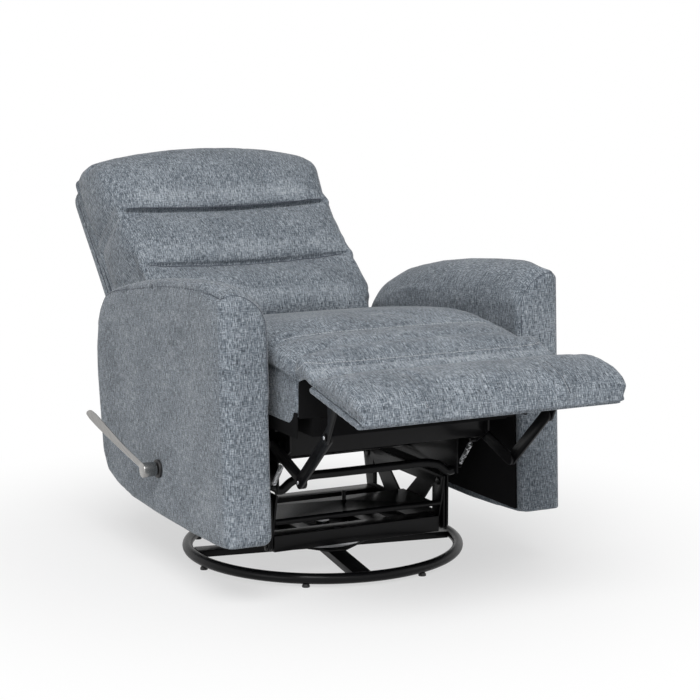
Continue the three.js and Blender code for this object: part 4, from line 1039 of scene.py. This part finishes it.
# %% [markdown]
# Each arm is upholstered as one piece. One length of cloth covers its front and its outer side
# and turns the corner between them softly, with no seam. A second covers the thick roll on top
# and hangs down the inner side to the seat. A bevel can't round a corner between two curved cushions,
# so every point outside an arc is brought in to it: once for the upright corner, and once for the outer edge
# of the top, towards its front end. The front also leans forward, more at its foot.

# %% Helpers for an arm's shape
arm_outer_x, arm_front_y, arm_foot_z, arm_height, arm_corner = 370, -311, 113, 498, 30


def brought_in(out_a, out_b, radius):
    reach = np.hypot(out_a, out_b)
    over = (out_a > 0) & (out_b > 0) & (reach > radius)
    return over, radius / np.maximum(reach, 1e-6)


def round_corner(mm):
    centre_x, centre_y = arm_outer_x - arm_corner, arm_front_y + arm_corner
    out_x, out_y = np.abs(mm[:, 0]) - centre_x, centre_y - mm[:, 1]
    over, share = brought_in(out_x, out_y, arm_corner)
    mm[:, 0] = np.where(over, np.sign(mm[:, 0]) * (centre_x + out_x * share), mm[:, 0])
    mm[:, 1] = np.where(over, centre_y - out_y * share, mm[:, 1])


def round_top(mm, radius=42, top=624):
    centre_x, centre_z = arm_outer_x - radius, top - radius
    out_x, out_z = np.abs(mm[:, 0]) - centre_x, mm[:, 2] - centre_z
    over, share = brought_in(out_x, out_z, radius)
    share = 1 + (share - 1) * smoothstep(-mm[:, 1], 190, 280)
    mm[:, 0] = np.where(over, np.sign(mm[:, 0]) * (centre_x + out_x * share), mm[:, 0])
    mm[:, 2] = np.where(over, centre_z + out_z * share, mm[:, 2])


def lean_front(mm):
    forward = smoothstep(-mm[:, 1], 90, -arm_front_y)
    low = 1 - np.clip((mm[:, 2] - arm_foot_z) / arm_height, 0, 1)
    mm[:, 2] -= 4 * smoothstep(-mm[:, 1], 245, -arm_front_y) * smoothstep(mm[:, 2], 530, 605)
    mm[:, 1] -= (20 + 24 * low) * forward
    mm[:, 0] += np.sign(mm[:, 0]) * 6 * forward


# %% [markdown]
# A thin fall of cloth is added inside the arm before the remesh, which joins it to the rest.
# The same step pushes what ends just behind the front panel into it, so that no gap is left.
# The seam is a route: forward along the outside, round the corner, over the front arch and down its inner edge.
# Its places are shares of the arm's length and height, and the seam is rounded and leaned as the cloth is.

# %% Helpers for an arm's cloth


def inner_fall(sign):
    def add(bm):
        for vert in bm.verts:
            if -286.5 < ((vert.co - at(0, 0, 0)) * 1000).y < -285.5:
                vert.co.y -= 0.003
        outline = [(-300, 560), (120, 535), (230, 500), (285, 455), (285, 400), (-300, 400)]
        face = bm.faces.new([bm.verts.new(at(sign * 280, y, z)) for y, z in outline])
        made = bmesh.ops.extrude_face_region(bm, geom=[face])["geom"]
        moved = [v for v in made if isinstance(v, bmesh.types.BMVert)]
        bmesh.ops.translate(bm, vec=(-sign * 0.0125, 0, 0), verts=moved)
        bmesh.ops.recalc_face_normals(bm, faces=bm.faces)
    return add


def arm_seam(sign):
    side = [
        (0.985, 0.701), (0.958, 0.771), (0.911, 0.835), (0.836, 0.871), (0.747, 0.892),
        (0.608, 0.921), (0.434, 0.958), (0.27, 0.98), (0.12, 0.996),
    ]
    arch = [
        (0.46, 0.076), (0.63, 0.177), (0.8, 0.342), (0.89, 0.48),
        (0.96, 0.67), (0.99, 0.9), (0.99, 1.4), (0.99, 2.4),
    ]
    centre_x, centre_y, top = arm_outer_x - arm_corner, arm_front_y + arm_corner, arm_foot_z + arm_height
    route = [(arm_outer_x, arm_front_y + 671 * along, arm_foot_z + arm_height * up) for along, up in side]
    for a in np.linspace(0, math.pi / 2, 7):
        x, y = centre_x + arm_corner * math.cos(a), centre_y - arm_corner * math.sin(a)
        route.append((x, y, top + 7 * a / 1.57))
    route += [(arm_outer_x - 98 * inward, arm_front_y, 620 - 79 * down) for inward, down in arch]
    mm = np.array([list(p) for p in smooth_route([Vector(p) for p in route], 8)])
    round_top(mm)
    lean_front(mm)
    return [at(sign * x, y, z) for x, y, z in mm]


# %% [markdown]
# Now the steps come together for each arm: join and remesh, round the corner and the top, lean the front,
# press the seam in and lay a thin dark line along it, painted shade for the seam's shadow. An arm is stuffed
# hard, so it isn't swollen.

# %% Arm upholstery
for side, sign in (("left", 1), ("right", -1)):
    nodes = ["arm_side_" + side, "arm_front_" + side, "arm_pad_" + side]
    arm = blank("arm_upholstery_" + side, 0.0047, nodes, upholstery, 6, inner_fall(sign))
    mm = chair_places(coordinates(arm))
    round_corner(mm)
    round_top(mm)
    lean_front(mm)
    place_in_chair(arm, mm)
    press_along(arm, arm_seam(sign), 3.4, 3.0)
    finish_cloth(arm, chair_places, 0.6, *nodes)
    # painted shade: a dark line along the seam for its shadow
    seam_shadow_line("arm_seam_" + side, arm_seam(sign), arm, "chair_body", 0.7)

# %% [markdown]
# The inner face of each arm is a black board that follows the lean of the arm's front.
# The seat box below the cushion is closed with black lining: two strips in front, the lower one narrower,
# so that the footrest's brackets pass it, and one strip along each side.

# %% Linings
eased("seat_frame", 0.002, lining)
for side in ("left", "right"):
    inner = eased("arm_board_" + side, 0.002, lining)
    mm = chair_places(coordinates(inner))
    lean_front(mm)
    place_in_chair(inner, mm)


def seat_lining(name, strips, ease):
    bm = bmesh.new()
    for place, size in strips:
        bmesh.ops.create_cube(bm, size=1, matrix=Matrix.Translation(place) @ Matrix.Diagonal((*size, 1)))
    round_edges(bm, bm.edges, ease, 2)
    sheet = shown(name, bm, lining)
    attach(sheet, "seat")


upper_strip = at(0, -407, 417), (0.500, 0.004, 0.074)
lower_strip = at(0, -407, 360), (0.408, 0.004, 0.040)
seat_lining("seat_front_lining", (upper_strip, lower_strip), 0.0012)
for side, sign in (("left", 1), ("right", -1)):
    seat_lining("seat_side_lining_" + side, ((at(sign * 252, -142, 366), (0.003, 0.525, 0.05)),), 0.001)
print("two arm boards, the seat box and three linings")

# %% [markdown]
# The floor is a wide pale sheet. Under the chair it is plain paint that takes the soft shadow.
# Further out it fades, for the camera and for reflections only, to the pure white of the backdrop.

# %% Floor


def seen_directly(nodes, links):
    path = nodes.new("ShaderNodeLightPath").outputs
    seen = mathematics(nodes, links, "MAXIMUM", path["Is Camera Ray"], path["Is Glossy Ray"])
    return mathematics(nodes, links, "MAXIMUM", seen, path["Is Transmission Ray"])


floor_size = 30
fade_starts, fade_ends = 0.35, 1.15  # metres from the middle
floor_material, nodes, links, principled = shader("studio_floor", (0.86, 0.86, 0.86), 0.95)
where = nodes.new("ShaderNodeTexCoord").outputs["Object"]
distance = nodes.new("ShaderNodeVectorMath")
distance.operation = "LENGTH"
links.new(where, distance.inputs[0])
fade = nodes.new("ShaderNodeMapRange")
fade.interpolation_type = "SMOOTHSTEP"
fade.inputs["From Min"].default_value, fade.inputs["From Max"].default_value = fade_starts, fade_ends
fade.inputs["To Min"].default_value, fade.inputs["To Max"].default_value = 0.6, 1.0
links.new(distance.outputs["Value"], fade.inputs["Value"])
white = nodes.new("ShaderNodeEmission")
mix = nodes.new("ShaderNodeMixShader")
faded = mathematics(nodes, links, "MULTIPLY", fade.outputs["Result"], seen_directly(nodes, links))
links.new(faded, mix.inputs["Fac"])
links.new(principled.outputs["BSDF"], mix.inputs[1])
links.new(white.outputs["Emission"], mix.inputs[2])
links.new(mix.outputs["Shader"], nodes["Material Output"].inputs["Surface"])
bm = bmesh.new()
bmesh.ops.create_grid(bm, x_segments=1, y_segments=1, size=floor_size)
floor = shown("studio_floor", bm, floor_material)
print("floor fades to white from", fade_starts, "to", fade_ends, "m")

# %% [markdown]
# Light comes from a large soft panel high in front and a little to the left, with a weak one on each side,
# as in a product studio. The world adds an even light, and the camera sees it as pure white.

# %% Lights


def softbox(name, x, y, z, width, depth, power):
    data = bpy.data.lights.new(name, "AREA")
    data.shape = "RECTANGLE"
    data.size, data.size_y, data.energy = width, depth, power
    light = bpy.data.objects.new(name, data)
    bpy.context.collection.objects.link(light)
    light.location = at(x, y, z)
    light.rotation_mode = "QUATERNION"
    light.rotation_quaternion = (at(0, 0, 450) - light.location).to_track_quat("-Z", "Y")


softbox("key_panel", -1950, -3950, 5200, 4.4, 3.2, 365)
softbox("left_panel", -3000, -1300, 450, 1.6, 1.2, 11)
softbox("right_panel", 2700, -1900, 1100, 1.4, 1.4, 4)

world = bpy.data.worlds.new("studio")
bpy.context.scene.world = world
world.use_nodes = True
nodes, links = world.node_tree.nodes, world.node_tree.links
ambient = nodes["Background"]
ambient.inputs["Color"].default_value = (1, 1, 1, 1)
ambient.inputs["Strength"].default_value = 0.24
backdrop = nodes.new("ShaderNodeBackground")
backdrop.inputs["Color"].default_value = (1, 1, 1, 1)
mix = nodes.new("ShaderNodeMixShader")
links.new(seen_directly(nodes, links), mix.inputs["Fac"])
links.new(ambient.outputs["Background"], mix.inputs[1])
links.new(backdrop.outputs["Background"], mix.inputs[2])
links.new(mix.outputs["Shader"], nodes["World Output"].inputs["Surface"])
bpy.context.scene.view_settings.view_transform = "Standard"
print("three panels and an even world")
